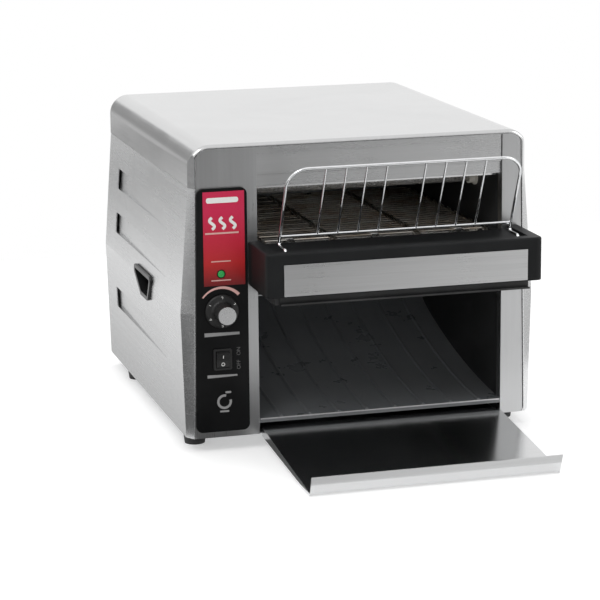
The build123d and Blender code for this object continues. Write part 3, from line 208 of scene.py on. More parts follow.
def heated_wire(name, colour, tint):
    """Stainless wire with brown and blue heat colours."""
    s = Shader(name, Metallic=1.0)
    heat = s.noise(38.0, 4.0, 0.6)
    fine = s.noise(1800.0, 2.0)
    s.join(s.blend(s.spread(heat, 0, 1, 0.35, 0.65), colour, tint), "Base Color")
    s.join(s.spread(fine, 0.24, 0.4), "Roughness")
    s.bump(fine, 0.00003, 0.5)
    return s.material


def ceramic(name):
    s = Shader(name)
    grain = s.noise(700.0, 3.0)
    stain = s.noise(45.0, 4.0)
    s.join(s.blend(s.spread(stain, 0, 1), rgb(0.82, 0.79, 0.72), rgb(0.66, 0.60, 0.50)),
           "Base Color")
    s.join(s.spread(grain, 0.55, 0.75), "Roughness")
    s.bump(grain, 0.0001, 0.6, 0.0005)
    return s.material


def quartz(name):
    s = Shader(name, IOR=1.46, Transmission_Weight=0.85)
    haze = s.noise(70.0, 3.0)
    s.join(s.blend(s.spread(haze, 0, 1), rgb(0.96, 0.95, 0.93), rgb(0.86, 0.84, 0.80)),
           "Base Color")
    s.join(s.spread(haze, 0.06, 0.16), "Roughness")
    return s.material


def printed_film(name):
    """Panel film that fades from red at the top to black, with a fine print screen."""
    s = Shader(name, Specular_IOR_Level=0.25)
    place = s.add("TexCoord").outputs["Object"]
    axes = s.add("SeparateXYZ", {"Vector": place})
    height = axes.outputs["Z"]
    fade = s.spread(height, 0, 1, 0.170, 0.206)
    screen = s.noise(2400.0, 1.0)
    soft = s.maths("MULTIPLY", fade, s.spread(screen, 0.86, 1.06))
    warm = s.spread(height, 0, 1, 0.205, 0.26)
    red = s.blend(warm, rgb(0.43, 0.022, 0.024), rgb(0.52, 0.024, 0.075))
    s.join(s.blend(soft, rgb(0.008, 0.008, 0.009), red), "Base Color")
    s.join(s.spread(s.noise(30.0, 3.0), 0.16, 0.26), "Roughness")
    s.bump(screen, 0.00001, 0.3, 0.0003)
    return s.material


def lens(name):
    s = Shader(name, Emission_Strength=0.12)
    ring = s.noise(900.0, 2.0)
    green = s.blend(s.spread(ring, 0, 1), rgb(0.01, 0.23, 0.045), rgb(0.03, 0.34, 0.08))
    s.join(green, "Base Color")
    s.join(green, "Emission Color")
    s.join(s.spread(ring, 0.12, 0.22), "Roughness")
    return s.material


def circuit(name):
    """Solder mask with paler tracks."""
    s = Shader(name, Coat_Weight=0.3)
    tracks = s.add("TexBrick", {"Vector": s.coords((0, 1, 1)), "Scale": 160.0,
                                "Mortar Size": 0.06, "Color1": rgb(0.02, 0.12, 0.05),
                                "Color2": rgb(0.025, 0.15, 0.06),
                                "Mortar": rgb(0.10, 0.28, 0.12)})
    s.join(tracks.outputs["Color"], "Base Color")
    s.join(s.spread(s.noise(300.0), 0.3, 0.5), "Roughness")
    s.bump(tracks.outputs["Fac"], 0.0001, 0.5)
    return s.material


def ink(name, colour):
    """Screen-printed marking."""
    s = Shader(name)
    grain = s.noise(3000.0, 2.0)
    dark = [c * 0.88 for c in colour[:3]] + [1.0]
    s.join(s.blend(s.spread(grain, 0, 1), dark, colour), "Base Color")
    s.join(s.spread(grain, 0.4, 0.55), "Roughness")
    return s.material


MATERIALS = {
    # The body's stainless sheets are one steel. The side panels' lighter grey is painted light,
    # and the columns' and fascia's darker grey is painted shade, for how each face catches the
    # light.
    "steel_cover": brushed("steel_cover", grey(0.62, 0.004), "y", 0.17),
    "steel_side_painted_light": brushed("steel_side_painted_light", grey(0.70, 0.006), "y", 0.25),
    "steel_column_painted_shade": brushed("steel_column_painted_shade", grey(0.54, 0.006), "z", 0.30),
    "steel_fascia_painted_shade": brushed("steel_fascia_painted_shade", grey(0.55, 0.004), "x", 0.28),
    "steel_trim": brushed("steel_trim", grey(0.57, 0.004), "x", 0.30, 0.12),
    "steel_tray": brushed("steel_tray", grey(0.68, 0.006), "x", 0.17, 0.05),
    "zinc": zinc("zinc"),
    "reflector": polished("reflector", grey(0.78), 0.14),
    "chrome": polished("chrome", grey(0.86, 0.012), 0.07, 0.1),
    "satin_cap": polished("satin_cap", grey(0.66, 0.004), 0.30, 0.06),
    "belt_wire": heated_wire("belt_wire", rgb(0.50, 0.48, 0.45), rgb(0.34, 0.28, 0.22)),
    "machined": polished("machined", grey(0.58), 0.28),
    "black_shelf": plastic("black_shelf", grey(0.008, 0.06), 0.48, shine=0.13),
    "black_panel": plastic("black_panel", grey(0.004, 0.05), 0.45, 1800.0, 0.00001, 0.11),
    "black_grip": plastic("black_grip", grey(0.008, 0.04), 0.30, 1800.0, 0.00002, 0.5),
    "black_switch": plastic("black_switch", grey(0.014), 0.38, 3200.0, shine=0.3),
    "black_moulded": plastic("black_moulded", grey(0.026), 0.45, 1500.0, 0.00008),
    # Dark enamel for the return chute. Its grey is raised above the enamel's own near black as
    # painted light in the dim cavity.
    "black_enamel": enamel("black_enamel", grey(0.130, 0.04), 0.26, 0.5),
    # Near-black enamel on the inner walls and the crumb tray, which lie in the cavity and under
    # the shelf: painted shade.
    "painted_shade_enamel": enamel("painted_shade_enamel", grey(0.012, 0.04), 0.46, 0.05),
    "printed_film": printed_film("printed_film"),
    "lens": lens("lens"),
    "ceramic": ceramic("ceramic"),
    "quartz": quartz("quartz"),
    "filament": heated_wire("filament", rgb(0.28, 0.24, 0.22), rgb(0.16, 0.12, 0.11)),
    "bronze": polished("bronze", rgb(0.52, 0.34, 0.16), 0.32),
    "motor": plastic("motor", grey(0.10), 0.40, 900.0, 0.0001),
    "circuit": circuit("circuit"),
    "rubber": plastic("rubber", grey(0.022), 0.70, 1200.0, 0.00012),
    "terminal": plastic("terminal", rgb(0.66, 0.62, 0.50), 0.5, 1500.0),
    "white_ink": ink("white_ink", rgb(0.74, 0.74, 0.72)),
    "grey_ink": ink("grey_ink", rgb(0.24, 0.24, 0.24)),
    "dim_ink": ink("dim_ink", rgb(0.085, 0.085, 0.085)),
    "pink_ink": ink("pink_ink", rgb(0.62, 0.36, 0.33)),
}

NODE_MATERIALS = {
    "steel_cover": ["top_cover"],
    "steel_side_painted_light": ["left_side_panel", "right_side_panel"],
    "steel_column_painted_shade": ["left_column", "right_column"],
    "steel_fascia_painted_shade": ["front_fascia", "header_rail"],
    "steel_trim": ["shelf_trim"],
    "steel_tray": ["exit_tray"],
    "zinc": ["back_panel", "base_pan", "heat_shield", "rear_guide", "crumb_tray_runners",
             "motor_bracket", "shelf_brackets"],
    "reflector": ["upper_reflector", "lower_reflector"],
    "chrome": ["loading_rack", "fan_guard"],
    "satin_cap": ["knob_cap"],
    "belt_wire": ["belt_bands", "belt_rods"],
    "machined": ["knob_shaft", "drive_shaft", "idler_shaft", "drive_belt_wheels",
                 "idler_belt_wheels", "drive_chain", "shaft_sprocket", "motor_sprocket",
                 "motor_shaft", "back_screws", "cover_screws", "speed_control"],
    "black_shelf": ["loading_shelf"],
    "black_panel": ["control_panel"],
    "black_grip": ["left_hand_hold", "right_hand_hold"],
    "black_switch": ["speed_knob", "switch_housing", "rocker"],
    "black_moulded": ["fan_housing", "fan_rotor", "cord_gland"],
    "black_enamel": ["return_chute"],
    "painted_shade_enamel": ["left_inner_wall", "right_inner_wall", "crumb_tray"],
    "printed_film": ["panel_overlay"],
    "lens": ["indicator_lamp"],
    "ceramic": ["heater_caps"],
    "quartz": ["upper_heater_tubes", "lower_heater_tubes"],
    "filament": ["heater_filaments"],
    "bronze": ["bushes"],
    "motor": ["gear_motor"],
    "circuit": ["control_board"],
    "rubber": ["feet"],
    "terminal": ["terminal_block"],
}


def dress_nodes():
    """Give every CAD node its material."""
    for key, names in NODE_MATERIALS.items():
        for name in names:
            mesh = CAD[name].data
            mesh.materials.clear()
            mesh.materials.append(MATERIALS[key])


# ---------------------------------------------------------------- mesh helpers

def make_object(name, verts, faces, material, body, smooth=True):
    mesh = bpy.data.meshes.new(name)
    mesh.from_pydata([tuple(v) for v in verts], [], faces)
    mesh.update()
    bm = bmesh.new()
    bm.from_mesh(mesh)
    bmesh.ops.recalc_face_normals(bm, faces=bm.faces)
    bm.to_mesh(mesh)
    bm.free()
    for polygon in mesh.polygons:
        polygon.use_smooth = smooth
    if smooth:
        mesh.set_sharp_from_angle(angle=math.radians(40))
    obj = bpy.data.objects.new(name, mesh)
    bpy.context.scene.collection.objects.link(obj)
    mesh.materials.append(MATERIALS[material])
    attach(obj, body)
    return obj


class Build:
    """Collects vertices and faces of one piece in row-frame metres."""

    def __init__(self):
        self.verts = []
        self.faces = []

    def tube(self, points, radius, sides=8, closed=False):
        """Round wire along points, with flat ends unless it is closed."""
        points = [Vector(p) for p in points]
        count = len(points)
        rings = []
        normal = None
        for i, point in enumerate(points):
            before = points[i - 1] if (i or closed) else point
            after = points[(i + 1) % count] if (i < count - 1 or closed) else point
            tangent = (after - before).normalized()
            if normal is None:
                helper = Vector((0, 0, 1)) if abs(tangent.z) < 0.9 else Vector((1, 0, 0))
                normal = tangent.cross(helper).normalized()
            else:
                normal = (normal - tangent * normal.dot(tangent)).normalized()
            side = tangent.cross(normal)
            first = len(self.verts)
            for k in range(sides):
                a = 2 * math.pi * k / sides
                self.verts.append(point + (normal * math.cos(a) + side * math.sin(a)) * radius)
            rings.append(first)
        pairs = list(zip(rings, rings[1:]))
        if closed:
            pairs.append((rings[-1], rings[0]))
        for a, b in pairs:
            for k in range(sides):
                n = (k + 1) % sides
                self.faces.append((a + k, a + n, b + n, b + k))
        if not closed:
            self.faces.append(tuple(range(rings[0], rings[0] + sides))[::-1])
            self.faces.append(tuple(range(rings[-1], rings[-1] + sides)))

    def lathe(self, profile, centre, sides, flute=None):
        """Solid of (radius, y) rings round a y axis; flute(angle, ring) scales the radius."""
        rings = []
        for r, (radius, y) in enumerate(profile):
            first = len(self.verts)
            for k in range(sides):
                a = 2 * math.pi * k / sides
                size = radius * (flute(a, r) if flute else 1.0)
                self.verts.append(Vector((centre[0] + size * math.cos(a), y,
                                          centre[1] + size * math.sin(a))))
            rings.append(first)
        for a, b in zip(rings, rings[1:]):
            for k in range(sides):
                n = (k + 1) % sides
                self.faces.append((a + k, b + k, b + n, a + n))
        self.faces.append(tuple(range(rings[0], rings[0] + sides)))
        self.faces.append(tuple(range(rings[-1], rings[-1] + sides))[::-1])

    def plate(self, outline, y0, y1):
        """Thin plate of an (x, z) outline between two y planes."""
        first = len(self.verts)
        count = len(outline)
        for y in (y0, y1):
            for x, z in outline:
                self.verts.append(Vector((x, y, z)))
        self.faces.append(tuple(range(first, first + count)))
        self.faces.append(tuple(range(first + count, first + 2 * count))[::-1])
        for k in range(count):
            n = (k + 1) % count
            self.faces.append((first + k, first + count + k, first + count + n, first + n))

    def strip(self, line, width, y0, y1):
        """Flat line of constant width on the panel, through (x, z) points."""
        left, right = [], []
        for i, (x, z) in enumerate(line):
            x0, z0 = line[max(i - 1, 0)]
            x1, z1 = line[min(i + 1, len(line) - 1)]
            length = math.hypot(x1 - x0, z1 - z0)
            nx, nz = -(z1 - z0) / length, (x1 - x0) / length
            left.append((x + nx * width / 2, z + nz * width / 2))
            right.append((x - nx * width / 2, z - nz * width / 2))
        for i in range(len(line) - 1):
            self.plate([left[i], left[i + 1], right[i + 1], right[i]], y0, y1)

    def object(self, name, material, body, smooth=True):
        return make_object(name, self.verts, self.faces, material, body, smooth)


def arc(cx, cz, radius, start, end, steps):
    """Points (x, z) on an arc, angles in degrees."""
    out = []
    for k in range(steps + 1):
        a = math.radians(start + (end - start) * k / steps)
        out.append((cx + radius * math.cos(a), cz + radius * math.sin(a)))
    return out


# ---------------------------------------------------------------- wire belt

BELT_PITCH = 0.012
BELT_SPAN = 0.264
BELT_WHEEL_TEETH = 8
BELT_RADIUS = BELT_WHEEL_TEETH * BELT_PITCH / (2 * math.pi)
BELT_COUNT = 52
BELT_ROW_INSET = 0.0035    # outer rows of hooks, from the belt's sides
BELT_ROW_SPREAD = 0.0475   # inner rows of hooks, from the belt's middle
HOOK_WIDE = 0.0034
HOOK_NARROW = 0.0024
HOOK_SHOULDER = 0.0012
HOOK_DROP = 0.0019
WIRE = 0.0011
_, BELT_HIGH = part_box("belt_bands")
BELT_AXIS_Z = BELT_HIGH.z - WIRE - BELT_RADIUS
IDLER_Y = FRONT_Y + 0.024  # idler shaft behind the column faces
DRIVE_Y = IDLER_Y + BELT_SPAN


def belt_place(s, rise=0.0):
    """Point (y, z) at a distance round the belt, from the top of the drive wheel forwards."""
    wrap = math.pi * BELT_RADIUS
    s %= 2 * (BELT_SPAN + wrap)
    radius = BELT_RADIUS + rise
    if s < BELT_SPAN:
        return DRIVE_Y - s, BELT_AXIS_Z + radius
    s -= BELT_SPAN
    if s < wrap:
        a = s / BELT_RADIUS
        return IDLER_Y - radius * math.sin(a), BELT_AXIS_Z + radius * math.cos(a)
    s -= wrap
    if s < BELT_SPAN:
        return IDLER_Y + s, BELT_AXIS_Z - radius
    a = (s - BELT_SPAN) / BELT_RADIUS
    return DRIVE_Y + radius * math.sin(a), BELT_AXIS_Z - radius * math.cos(a)


def wire_belt():
    """Flat wire belt: each rod is cranked at four rows to hook round the next rod."""
    low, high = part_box("belt_bands")
    rows = [low.x + BELT_ROW_INSET, BELT_CENTRE_X - BELT_ROW_SPREAD,
            BELT_CENTRE_X + BELT_ROW_SPREAD, high.x - BELT_ROW_INSET]
    b = Build()
    for k in range(BELT_COUNT):
        s = k * BELT_PITCH
        line = []
        for row in rows:
            half = HOOK_NARROW if k % 2 else HOOK_WIDE
            reach = BELT_PITCH + 2.2 * WIRE
            crank = [(-half - HOOK_SHOULDER, 0.0, 0.0), (-half, 0.1, -0.0004),
                     (-half, 0.75, -0.0014), (-half * 0.7, 1.0, -HOOK_DROP),
                     (half * 0.7, 1.0, -HOOK_DROP), (half, 0.75, -0.0014),
                     (half, 0.1, -0.0004), (half + HOOK_SHOULDER, 0.0, 0.0)]
            for dx, share, drop in crank:
                y, z = belt_place(s + share * reach, drop)
                line.append((row + dx, y, z))
        line = [p for p in line if low.x + WIRE <= p[0] <= high.x - WIRE]
        line = [(low.x + WIRE * 0.3, line[0][1], line[0][2])] + line
        line.append((high.x - WIRE * 0.3, line[-1][1], line[-1][2]))
        b.tube(line, WIRE * 0.92, 7)
    belt = b.object("wire_belt", "belt_wire", "root")
    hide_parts("belt_bands", "belt_rods")


TUBES_PER_NODE = 3
COIL_TURNS = 52
COIL_STEPS_PER_TURN = 9
COIL_RADIUS = 0.0029
COIL_WIRE = 0.00045


def heater_coils():
    """Wound resistance wire inside each quartz tube."""
    b = Build()
    for node in ("upper_heater_tubes", "lower_heater_tubes"):
        low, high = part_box(node)
        z = (low.z + high.z) / 2
        radius = (high.z - low.z) / 2
        for k in range(TUBES_PER_NODE):
            y = low.y + radius + k * (high.y - low.y - 2 * radius) / (TUBES_PER_NODE - 1)
            steps = COIL_TURNS * COIL_STEPS_PER_TURN
            line = []
            for i in range(steps + 1):
                a = 2 * math.pi * i / COIL_STEPS_PER_TURN
                line.append((low.x + (high.x - low.x) * i / steps,
                             y + COIL_RADIUS * math.cos(a), z + COIL_RADIUS * math.sin(a)))
            b.tube(line, COIL_WIRE, 5)
    coils = b.object("heater_coils", "filament", "root")
    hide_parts("heater_filaments")


# ---------------------------------------------------------------- control panel details

KNOB_X = -0.1555
KNOB_Z = 0.154
KNOB_DIGITS = 6
KNOB_DIGIT_RADIUS = 0.0143
KNOB_DIGIT_SIZE = 0.0056
KNOB_FLUTES = 20
GRIP_RADIUS = 0.0105
GRIP_TIP_RADIUS = 0.0095
LAMP_Z = 0.194
LAMP_RING_RADIUS = 0.0042
SWITCH_Z = 0.102
ROCKER_TILT = math.radians(9)
ROCKER_PIVOT_Y = FRONT_Y - 0.002
ROCKER_RISE = 0.0042       # the rocker's middle ridge in front of its pivot
FILM_FACE = FRONT_Y - 0.0034
PANEL_FACE = FRONT_Y - 0.003
FILM_LOW = 0.1815
INK = 0.00012


def fluted_knob():
    """Dial skirt with a bevelled rim and a grip with rounded flutes."""
    low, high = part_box("speed_knob")
    skirt = (high.x - low.x) / 2
    grip = GRIP_RADIUS
    tip = GRIP_TIP_RADIUS
    back = high.y
    front = low.y
    profile = [(skirt * 0.96, back), (skirt, back - 0.0005), (skirt, back - 0.0016),
               (skirt - 0.0006, back - 0.0024), (skirt - 0.0018, back - 0.0030),
               (grip + 0.0022, back - 0.0032), (grip + 0.0006, back - 0.0042),
               (grip, back - 0.0055), (grip * 0.6 + tip * 0.4, back - 0.0115),
               (tip + 0.0002, front + 0.0022), (tip, front + 0.0010),
               (tip - 0.0006, front + 0.0003), (tip - 0.0012, front)]

    def flute(angle, ring):
        if ring < 7 or ring > 10:
            return 1.0
        depth = 0.035 if ring < 10 else 0.02
        return 1.0 - depth * (0.5 - 0.5 * math.cos(angle * KNOB_FLUTES))

    b = Build()
    b.lathe(profile, (KNOB_X, KNOB_Z), 160, flute)
    knob = b.object("fluted_knob", "black_switch", "speed_knob")
    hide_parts("speed_knob")
    skirt_face = back - 0.0030
    for k in range(KNOB_DIGITS):
        a = math.radians(150 - k * 360 / KNOB_DIGITS)
        text_piece(f"knob_digit_{k + 1}", str(k + 1), KNOB_X + KNOB_DIGIT_RADIUS * math.cos(a),
                   KNOB_Z + KNOB_DIGIT_RADIUS * math.sin(a), KNOB_DIGIT_SIZE, "white_ink",
                   skirt_face, turn=math.radians(90) - a,
                   body="speed_knob")


def text_piece(name, words, x, z, size, material, face, turn=0.0,
               body="root"):
    """Printed lettering, as flat mesh on the panel."""
    curve = bpy.data.curves.new(name, "FONT")
    curve.body = words
    curve.size = size
    curve.align_x = "CENTER"
    curve.align_y = "CENTER"
    curve.extrude = INK / 2
    curve.resolution_u = 4
    temporary = bpy.data.objects.new(name + "_curve", curve)
    bpy.context.scene.collection.objects.link(temporary)
    bpy.context.view_layer.update()
    mesh = bpy.data.meshes.new_from_object(temporary)
    bpy.data.objects.remove(temporary)
    place = (Matrix.Translation((x, face - INK / 2, z)) @ Matrix.Rotation(turn, 4, "Y")
             @ Matrix.Rotation(math.radians(90), 4, "X"))
    mesh.transform(place)
    mesh.materials.clear()
    mesh.materials.append(MATERIALS[material])
    obj = bpy.data.objects.new(name, mesh)
    bpy.context.scene.collection.objects.link(obj)
    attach(obj, body)
    return obj


def tapered_line(build, line, wide, narrow):
    """Printed line that narrows from one end to the other, on the film or the panel under it."""
    steps = len(line) - 1
    edges = []
    for i, (x, z) in enumerate(line):
        x0, z0 = line[max(i - 1, 0)]
        x1, z1 = line[min(i + 1, steps)]
        length = math.hypot(x1 - x0, z1 - z0)
        half = (wide + (narrow - wide) * i / steps) / 2
        nx, nz = -(z1 - z0) / length * half, (x1 - x0) / length * half
        edges.append(((x + nx, z + nz), (x - nx, z - nz)))
    for (a, b), (c, d) in zip(edges, edges[1:]):
        lowest = min(point[1] for point in (a, b, c, d))
        face = FILM_FACE if lowest > FILM_LOW else PANEL_FACE
        build.plate([a, c, d, b], face - INK, face)


def bar_points(x0, x1, z):
    return [(KNOB_X + x0, z), (KNOB_X + x1, z)]


def rounded_bar(x0, x1, z0, z1, radius):
    """Outline (x, z) of a bar with round corners."""
    out = []
    for cx, cz, start in ((x1 - radius, z1 - radius, 0), (x0 + radius, z1 - radius, 90),
                          (x0 + radius, z0 + radius, 180), (x1 - radius, z0 + radius, 270)):
        out += arc(cx, cz, radius, start, start + 90, 6)
    return out


def dial_scale():
    """Arc that grows from slow to fast over the dial, and a wedge under it."""
    b = Build()
    tapered_line(b, arc(KNOB_X, KNOB_Z, 0.0253, 143, 42, 48), 0.0016, 0.0034)
    b.object("dial_arc", "pink_ink", "root", smooth=False)
    b = Build()
    tapered_line(b, bar_points(-0.0190, 0.0190, 0.1292), 0.0042, 0.0028)
    b.object("dial_wedge", "grey_ink", "root", smooth=False)


def film_symbols():
    """Generic marks on the film: a bare pale bar, three heat waves and thin lines."""
    b = Build()
    b.plate(rounded_bar(KNOB_X - 0.0150, KNOB_X + 0.0195, 0.2695, 0.2752, 0.0024),
            FILM_FACE - INK, FILM_FACE)
    for k in range(3):
        x0 = KNOB_X - 0.0090 + k * 0.0112
        line = []
        for i in range(25):
            t = i / 24
            line.append((x0 + 0.0026 * math.sin(2 * math.pi * t), 0.2418 + 0.0125 * t))
        b.strip(line, 0.0031, FILM_FACE - INK, FILM_FACE)
    b.object("film_symbols", "white_ink", "root", smooth=False)
    b = Build()
    b.strip(bar_points(-0.0165, 0.0195, 0.2375), 0.0018, FILM_FACE - INK, FILM_FACE)
    b.strip(bar_points(-0.0105, 0.0105, 0.2075), 0.0012, FILM_FACE - INK, FILM_FACE)
    b.strip(bar_points(-0.0105, 0.0105, 0.1872), 0.0012, FILM_FACE - INK, FILM_FACE)
    b.object("film_lines", "pink_ink", "root", smooth=False)


def panel_symbols():
    """Generic marks round the switch: words, a tapered bar, and a ring with two dashes."""
    text_piece("switch_words", "OFF   ON", KNOB_X + 0.0178, SWITCH_Z, 0.0058, "dim_ink",
               PANEL_FACE, turn=math.radians(-90))
    b = Build()
    tapered_line(b, bar_points(-0.0165, 0.0160, 0.0838), 0.0034, 0.0018)
    ring_x, ring_z = KNOB_X + 0.0015, 0.0555
    b.strip(arc(ring_x, ring_z, 0.0068, 75, 375, 40), 0.0026, PANEL_FACE - INK, PANEL_FACE)
    b.plate(rounded_bar(ring_x + 0.0010, ring_x + 0.0075, 0.0645, 0.0668, 0.0010),
            PANEL_FACE - INK, PANEL_FACE)
    b.plate(rounded_bar(ring_x - 0.0050, ring_x + 0.0050, 0.0440, 0.0460, 0.0009),
            PANEL_FACE - INK, PANEL_FACE)
    b.object("panel_symbols", "grey_ink", "root", smooth=False)


def lamp_ring():
    """Thin moulded ring round the lamp."""
    b = Build()
    line = [(KNOB_X + LAMP_RING_RADIUS * math.cos(a), FILM_FACE - 0.0001,
             LAMP_Z + LAMP_RING_RADIUS * math.sin(a))
            for a in [2 * math.pi * k / 40 for k in range(40)]]
    b.tube(line, 0.0005, 8, closed=True)
    b.object("lamp_ring", "black_panel", "root")


def chute_edge():
    """Thin steel bead along the turned-down edge of the return chute."""
    low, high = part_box("return_chute")
    b = Build()
    z = low.z + 0.0042
    y = low.y - 0.0002
    b.tube([(low.x + 0.0012, y, z), (high.x - 0.0012, y, z)], 0.0010, 12)
    b.object("chute_edge", "steel_trim", "root")


def rocker_marks():
    """Line and circle on the rocker's two flats, which lean with the rocker."""
    pivot = Vector((KNOB_X, ROCKER_PIVOT_Y, SWITCH_Z))
    turn = Matrix.Rotation(ROCKER_TILT, 4, "X")
    b = Build()

    def lay(line, width):
        """Line on the rocker's flats; its points are (x, distance up from the pivot)."""
        for (x0, u0), (x1, u1) in zip(line, line[1:]):
            length = math.hypot(x1 - x0, u1 - u0)
            nx, nu = -(u1 - u0) / length * width / 2, (x1 - x0) / length * width / 2
            first = len(b.verts)
            for depth in (INK, -0.0001):
                for x, u in ((x0 + nx, u0 + nu), (x1 + nx, u1 + nu), (x1 - nx, u1 - nu),
                             (x0 - nx, u0 - nu)):
                    y = -ROCKER_RISE - abs(u) * math.tan(ROCKER_TILT) - depth
                    point = turn @ Vector((x, y, u))
                    b.verts.append(pivot + point)
            f = first
            b.faces.extend([(f, f + 1, f + 2, f + 3), (f + 7, f + 6, f + 5, f + 4)])
            for k in range(4):
                n = (k + 1) % 4
                b.faces.append((f + k, f + 4 + k, f + 4 + n, f + n))

    lay([(0, 0.0024), (0, 0.0058)], 0.0008)
    circle = [(0.0016 * math.cos(a), -0.0042 + 0.0016 * math.sin(a))
              for a in [2 * math.pi * k / 20 for k in range(21)]]
    lay(circle, 0.0006)
    b.object("rocker_marks", "white_ink", "rocker", smooth=False)


# ---------------------------------------------------------------- stage, light and camera

CAMERA_PLACE = Vector((-0.7358, -2.4719, 0.7135))
CAMERA_YAW = math.radians(15.77)
CAMERA_PITCH = math.radians(12.73)
CAMERA_ROLL = math.radians(-0.53)
FOCAL_PIXELS = 2371.4
PHOTO_PIXELS = 600.0
SENSOR = 36.0


def camera():
    forward = Vector((math.sin(CAMERA_YAW) * math.cos(CAMERA_PITCH),
                      math.cos(CAMERA_YAW) * math.cos(CAMERA_PITCH), -math.sin(CAMERA_PITCH)))
    level = Vector((math.cos(CAMERA_YAW), -math.sin(CAMERA_YAW), 0.0))
    upright = level.cross(forward)
    c, s = math.cos(CAMERA_ROLL), math.sin(CAMERA_ROLL)
    right = level * c + upright * s
    up = upright * c - level * s
    data = bpy.data.cameras.new("camera")
    data.sensor_width = SENSOR
    data.lens = FOCAL_PIXELS / PHOTO_PIXELS * SENSOR
    data.clip_start = 0.05
    data.clip_end = 60
    obj = bpy.data.objects.new("camera", data)
    obj.matrix_world = Matrix(((right.x, up.x, -forward.x, CAMERA_PLACE.x),
                               (right.y, up.y, -forward.y, CAMERA_PLACE.y),
                               (right.z, up.z, -forward.z, CAMERA_PLACE.z), (0, 0, 0, 1)))
    bpy.context.scene.collection.objects.link(obj)
    bpy.context.scene.camera = obj


def area_light(name, place, target, width, height, power):
    data = bpy.data.lights.new(name, "AREA")
    data.shape = "RECTANGLE"
    data.size = width
    data.size_y = height
    data.energy = power
    obj = bpy.data.objects.new(name, data)
    direction = Vector(target) - Vector(place)
    obj.matrix_world = (Matrix.Translation(place)
                        @ direction.to_track_quat("-Z", "Y").to_matrix().to_4x4())
    bpy.context.scene.collection.objects.link(obj)
    return obj


def seen_rays(tree):
    """1 for camera, glossy and transmitted rays, 0 for the rest."""
    path = tree.nodes.new("ShaderNodeLightPath")
    total = path.outputs["Is Camera Ray"]
    for other in ("Is Glossy Ray", "Is Transmission Ray"):
        node = tree.nodes.new("ShaderNodeMath")
        node.operation = "MAXIMUM"
        tree.links.new(total, node.inputs[0])
        tree.links.new(path.outputs[other], node.inputs[1])
        total = node.outputs[0]
    return total


def stage_plane(name, corners, material, seen=True):
    mesh = bpy.data.meshes.new(name)
    mesh.from_pydata(corners, [], [tuple(range(len(corners)))])
    mesh.update()
    mesh.materials.append(material)
    obj = bpy.data.objects.new(name, mesh)
    bpy.context.scene.collection.objects.link(obj)
    obj.visible_camera = seen
    return obj


FLOOR_HALF = 0.95
FLOOR_TONE = 0.80
FLOOR_GLOW = 0.36          # lifts the lit floor to white for the rays that see it


def floor():
    """Pale table top that fades to white where rays see it."""
    material = bpy.data.materials.new("floor")
    material.use_nodes = True
    tree = material.node_tree
    tree.nodes.clear()
    out = tree.nodes.new("ShaderNodeOutputMaterial")
    diffuse = tree.nodes.new("ShaderNodeBsdfDiffuse")
    diffuse.inputs["Color"].default_value = grey(FLOOR_TONE)
    glow = tree.nodes.new("ShaderNodeEmission")
    glow.inputs["Color"].default_value = grey(1.0)
    scale = tree.nodes.new("ShaderNodeMath")
    scale.operation = "MULTIPLY"
    scale.inputs[1].default_value = FLOOR_GLOW
    tree.links.new(seen_rays(tree), scale.inputs[0])
    tree.links.new(scale.outputs[0], glow.inputs["Strength"])
    both = tree.nodes.new("ShaderNodeAddShader")
    tree.links.new(diffuse.outputs[0], both.inputs[0])
    tree.links.new(glow.outputs[0], both.inputs[1])
    tree.links.new(both.outputs[0], out.inputs["Surface"])
    half = FLOOR_HALF
    stage_plane("floor", [(-half, -half, 0), (half, -half, 0), (half, half, 0),
                          (-half, half, 0)], material)


def glow_card(name, corners, axis, start, end, first, last):
    """Card that only reflections see; its brightness goes from first to last along an axis."""
    material = bpy.data.materials.new(name)
    material.use_nodes = True
    tree = material.node_tree
    tree.nodes.clear()
    out = tree.nodes.new("ShaderNodeOutputMaterial")
    glow = tree.nodes.new("ShaderNodeEmission")
    place = tree.nodes.new("ShaderNodeTexCoord")
    axes = tree.nodes.new("ShaderNodeSeparateXYZ")
    ramp = tree.nodes.new("ShaderNodeMapRange")
    for socket, value in (("From Min", start), ("From Max", end), ("To Min", first),
                          ("To Max", last)):
        ramp.inputs[socket].default_value = value
    tree.links.new(place.outputs["Object"], axes.inputs["Vector"])
    tree.links.new(axes.outputs["XYZ".index(axis)], ramp.inputs["Value"])
    tree.links.new(ramp.outputs["Result"], glow.inputs["Strength"])
    tree.links.new(glow.outputs[0], out.inputs["Surface"])
    card = stage_plane(name, corners, material, seen=False)
    card.visible_diffuse = False
    card.visible_transmission = False
    card.visible_volume_scatter = False
    card.visible_shadow = False


CARD_RISE = 0.003          # cards that lie on the floor are this far above it


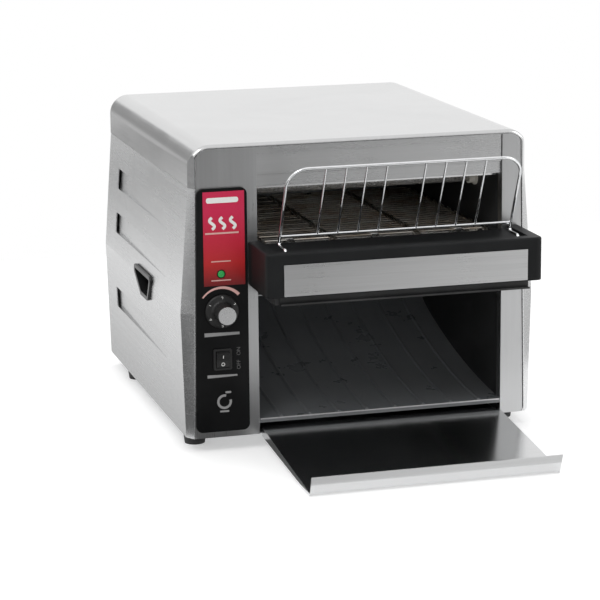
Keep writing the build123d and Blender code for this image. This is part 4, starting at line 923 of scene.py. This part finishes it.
def cards():
    """Glowing cards round the toaster that only reflections see. They shape what its steel
    reflects as painted reflections, some dark for shade and some pale.
    """
    low = CARD_RISE
    glow_card("card_front", [(-3, -6, -low), (3, -6, -low), (2.0, -0.96, -low),
                             (-2.0, -0.96, -low)], "X", 0.12, 0.52, 0.03, 0.70)
    glow_card("card_front_high", [(-3, -6, -low), (3, -6, -low), (3, -6, 5.0), (-3, -6, 5.0)],
              "Z", 0.7, 2.2, 0.03, 0.80)
    glow_card("card_front_floor", [(-0.55, -0.95, low), (0.42, -0.95, low), (0.36, -0.304, low),
                                   (-0.35, -0.304, low)], "X", -0.10, 0.30, 0.66, 0.90)
    glow_card("card_left_floor", [(-0.24, -0.50, low), (-3.20, -1.70, low), (-3.20, 1.40, low),
                                  (-0.62, 0.15, low), (-0.24, -0.10, low)], "X", -0.24, -1.40,
              0.08, 0.29)
    # Painted reflection of the floor's contact shade beside the left side panel.
    glow_card("card_side_floor", [(-0.198, -0.09, low), (-0.25, -0.09, low), (-0.60, 0.16, low),
                                  (-0.60, 0.95, low), (-0.198, 0.95, low)], "X", -0.20, -0.36,
              0.55, 0.95)
    glow_card("card_back_left", [(-0.45, 2.2, 0.0), (-1.90, 2.2, 0.0), (-1.90, 2.2, 0.88),
                                 (-0.45, 2.2, 0.88)], "Z", 0.17, 0.28, 0.55, 0.36)
    glow_card("card_back_floor", [(-0.38, 0.96, low), (-0.38, 2.2, low), (-1.50, 2.2, low),
                                  (-1.10, 0.96, low)], "Y", 1.05, 1.90, 0.74, 0.37)
    glow_card("card_right_floor", [(0.42, -0.30, low), (1.60, -0.45, low), (1.60, 1.20, low),
                                   (0.42, 0.80, low)], "X", 0.42, 1.60, 0.60, 0.70)
    # Dark card by the tray's left flange: painted reflection of floor shade beside the tray.
    glow_card("card_tray", [(-0.21, -0.31, low), (-0.1128, -0.31, low), (-0.1128, -0.09, low),
                            (-0.21, -0.09, low)], "Y", -0.31, -0.09, 0.15, 0.08)


def world():
    w = bpy.data.worlds.new("world")
    bpy.context.scene.world = w
    w.use_nodes = True
    tree = w.node_tree
    background = tree.nodes["Background"]
    background.inputs["Color"].default_value = grey(1.0)
    mix = tree.nodes.new("ShaderNodeMapRange")
    mix.inputs["To Min"].default_value = 0.62
    mix.inputs["To Max"].default_value = 1.0
    tree.links.new(seen_rays(tree), mix.inputs["Value"])
    tree.links.new(mix.outputs["Result"], background.inputs["Strength"])


def lights():
    area_light("key", (-1.6, -1.2, 2.4), (0, 0, 0.15), 1.6, 1.2, 24)
    area_light("front", (-0.5, -2.7, 0.85), (0.02, 0, 0.12), 1.5, 1.0, 13).visible_glossy = False
    area_light("fill", (1.9, -0.9, 1.5), (0, 0, 0.15), 1.2, 1.2, 9)
    area_light("top", (0.1, 0.6, 2.6), (0, 0, 0.2), 1.8, 1.2, 16).visible_glossy = False


dress_nodes()
wire_belt()
heater_coils()
fluted_knob()
dial_scale()
film_symbols()
panel_symbols()
lamp_ring()
chute_edge()
rocker_marks()
camera()
floor()
cards()
world()
lights()
bpy.context.scene.view_settings.view_transform = "Standard"
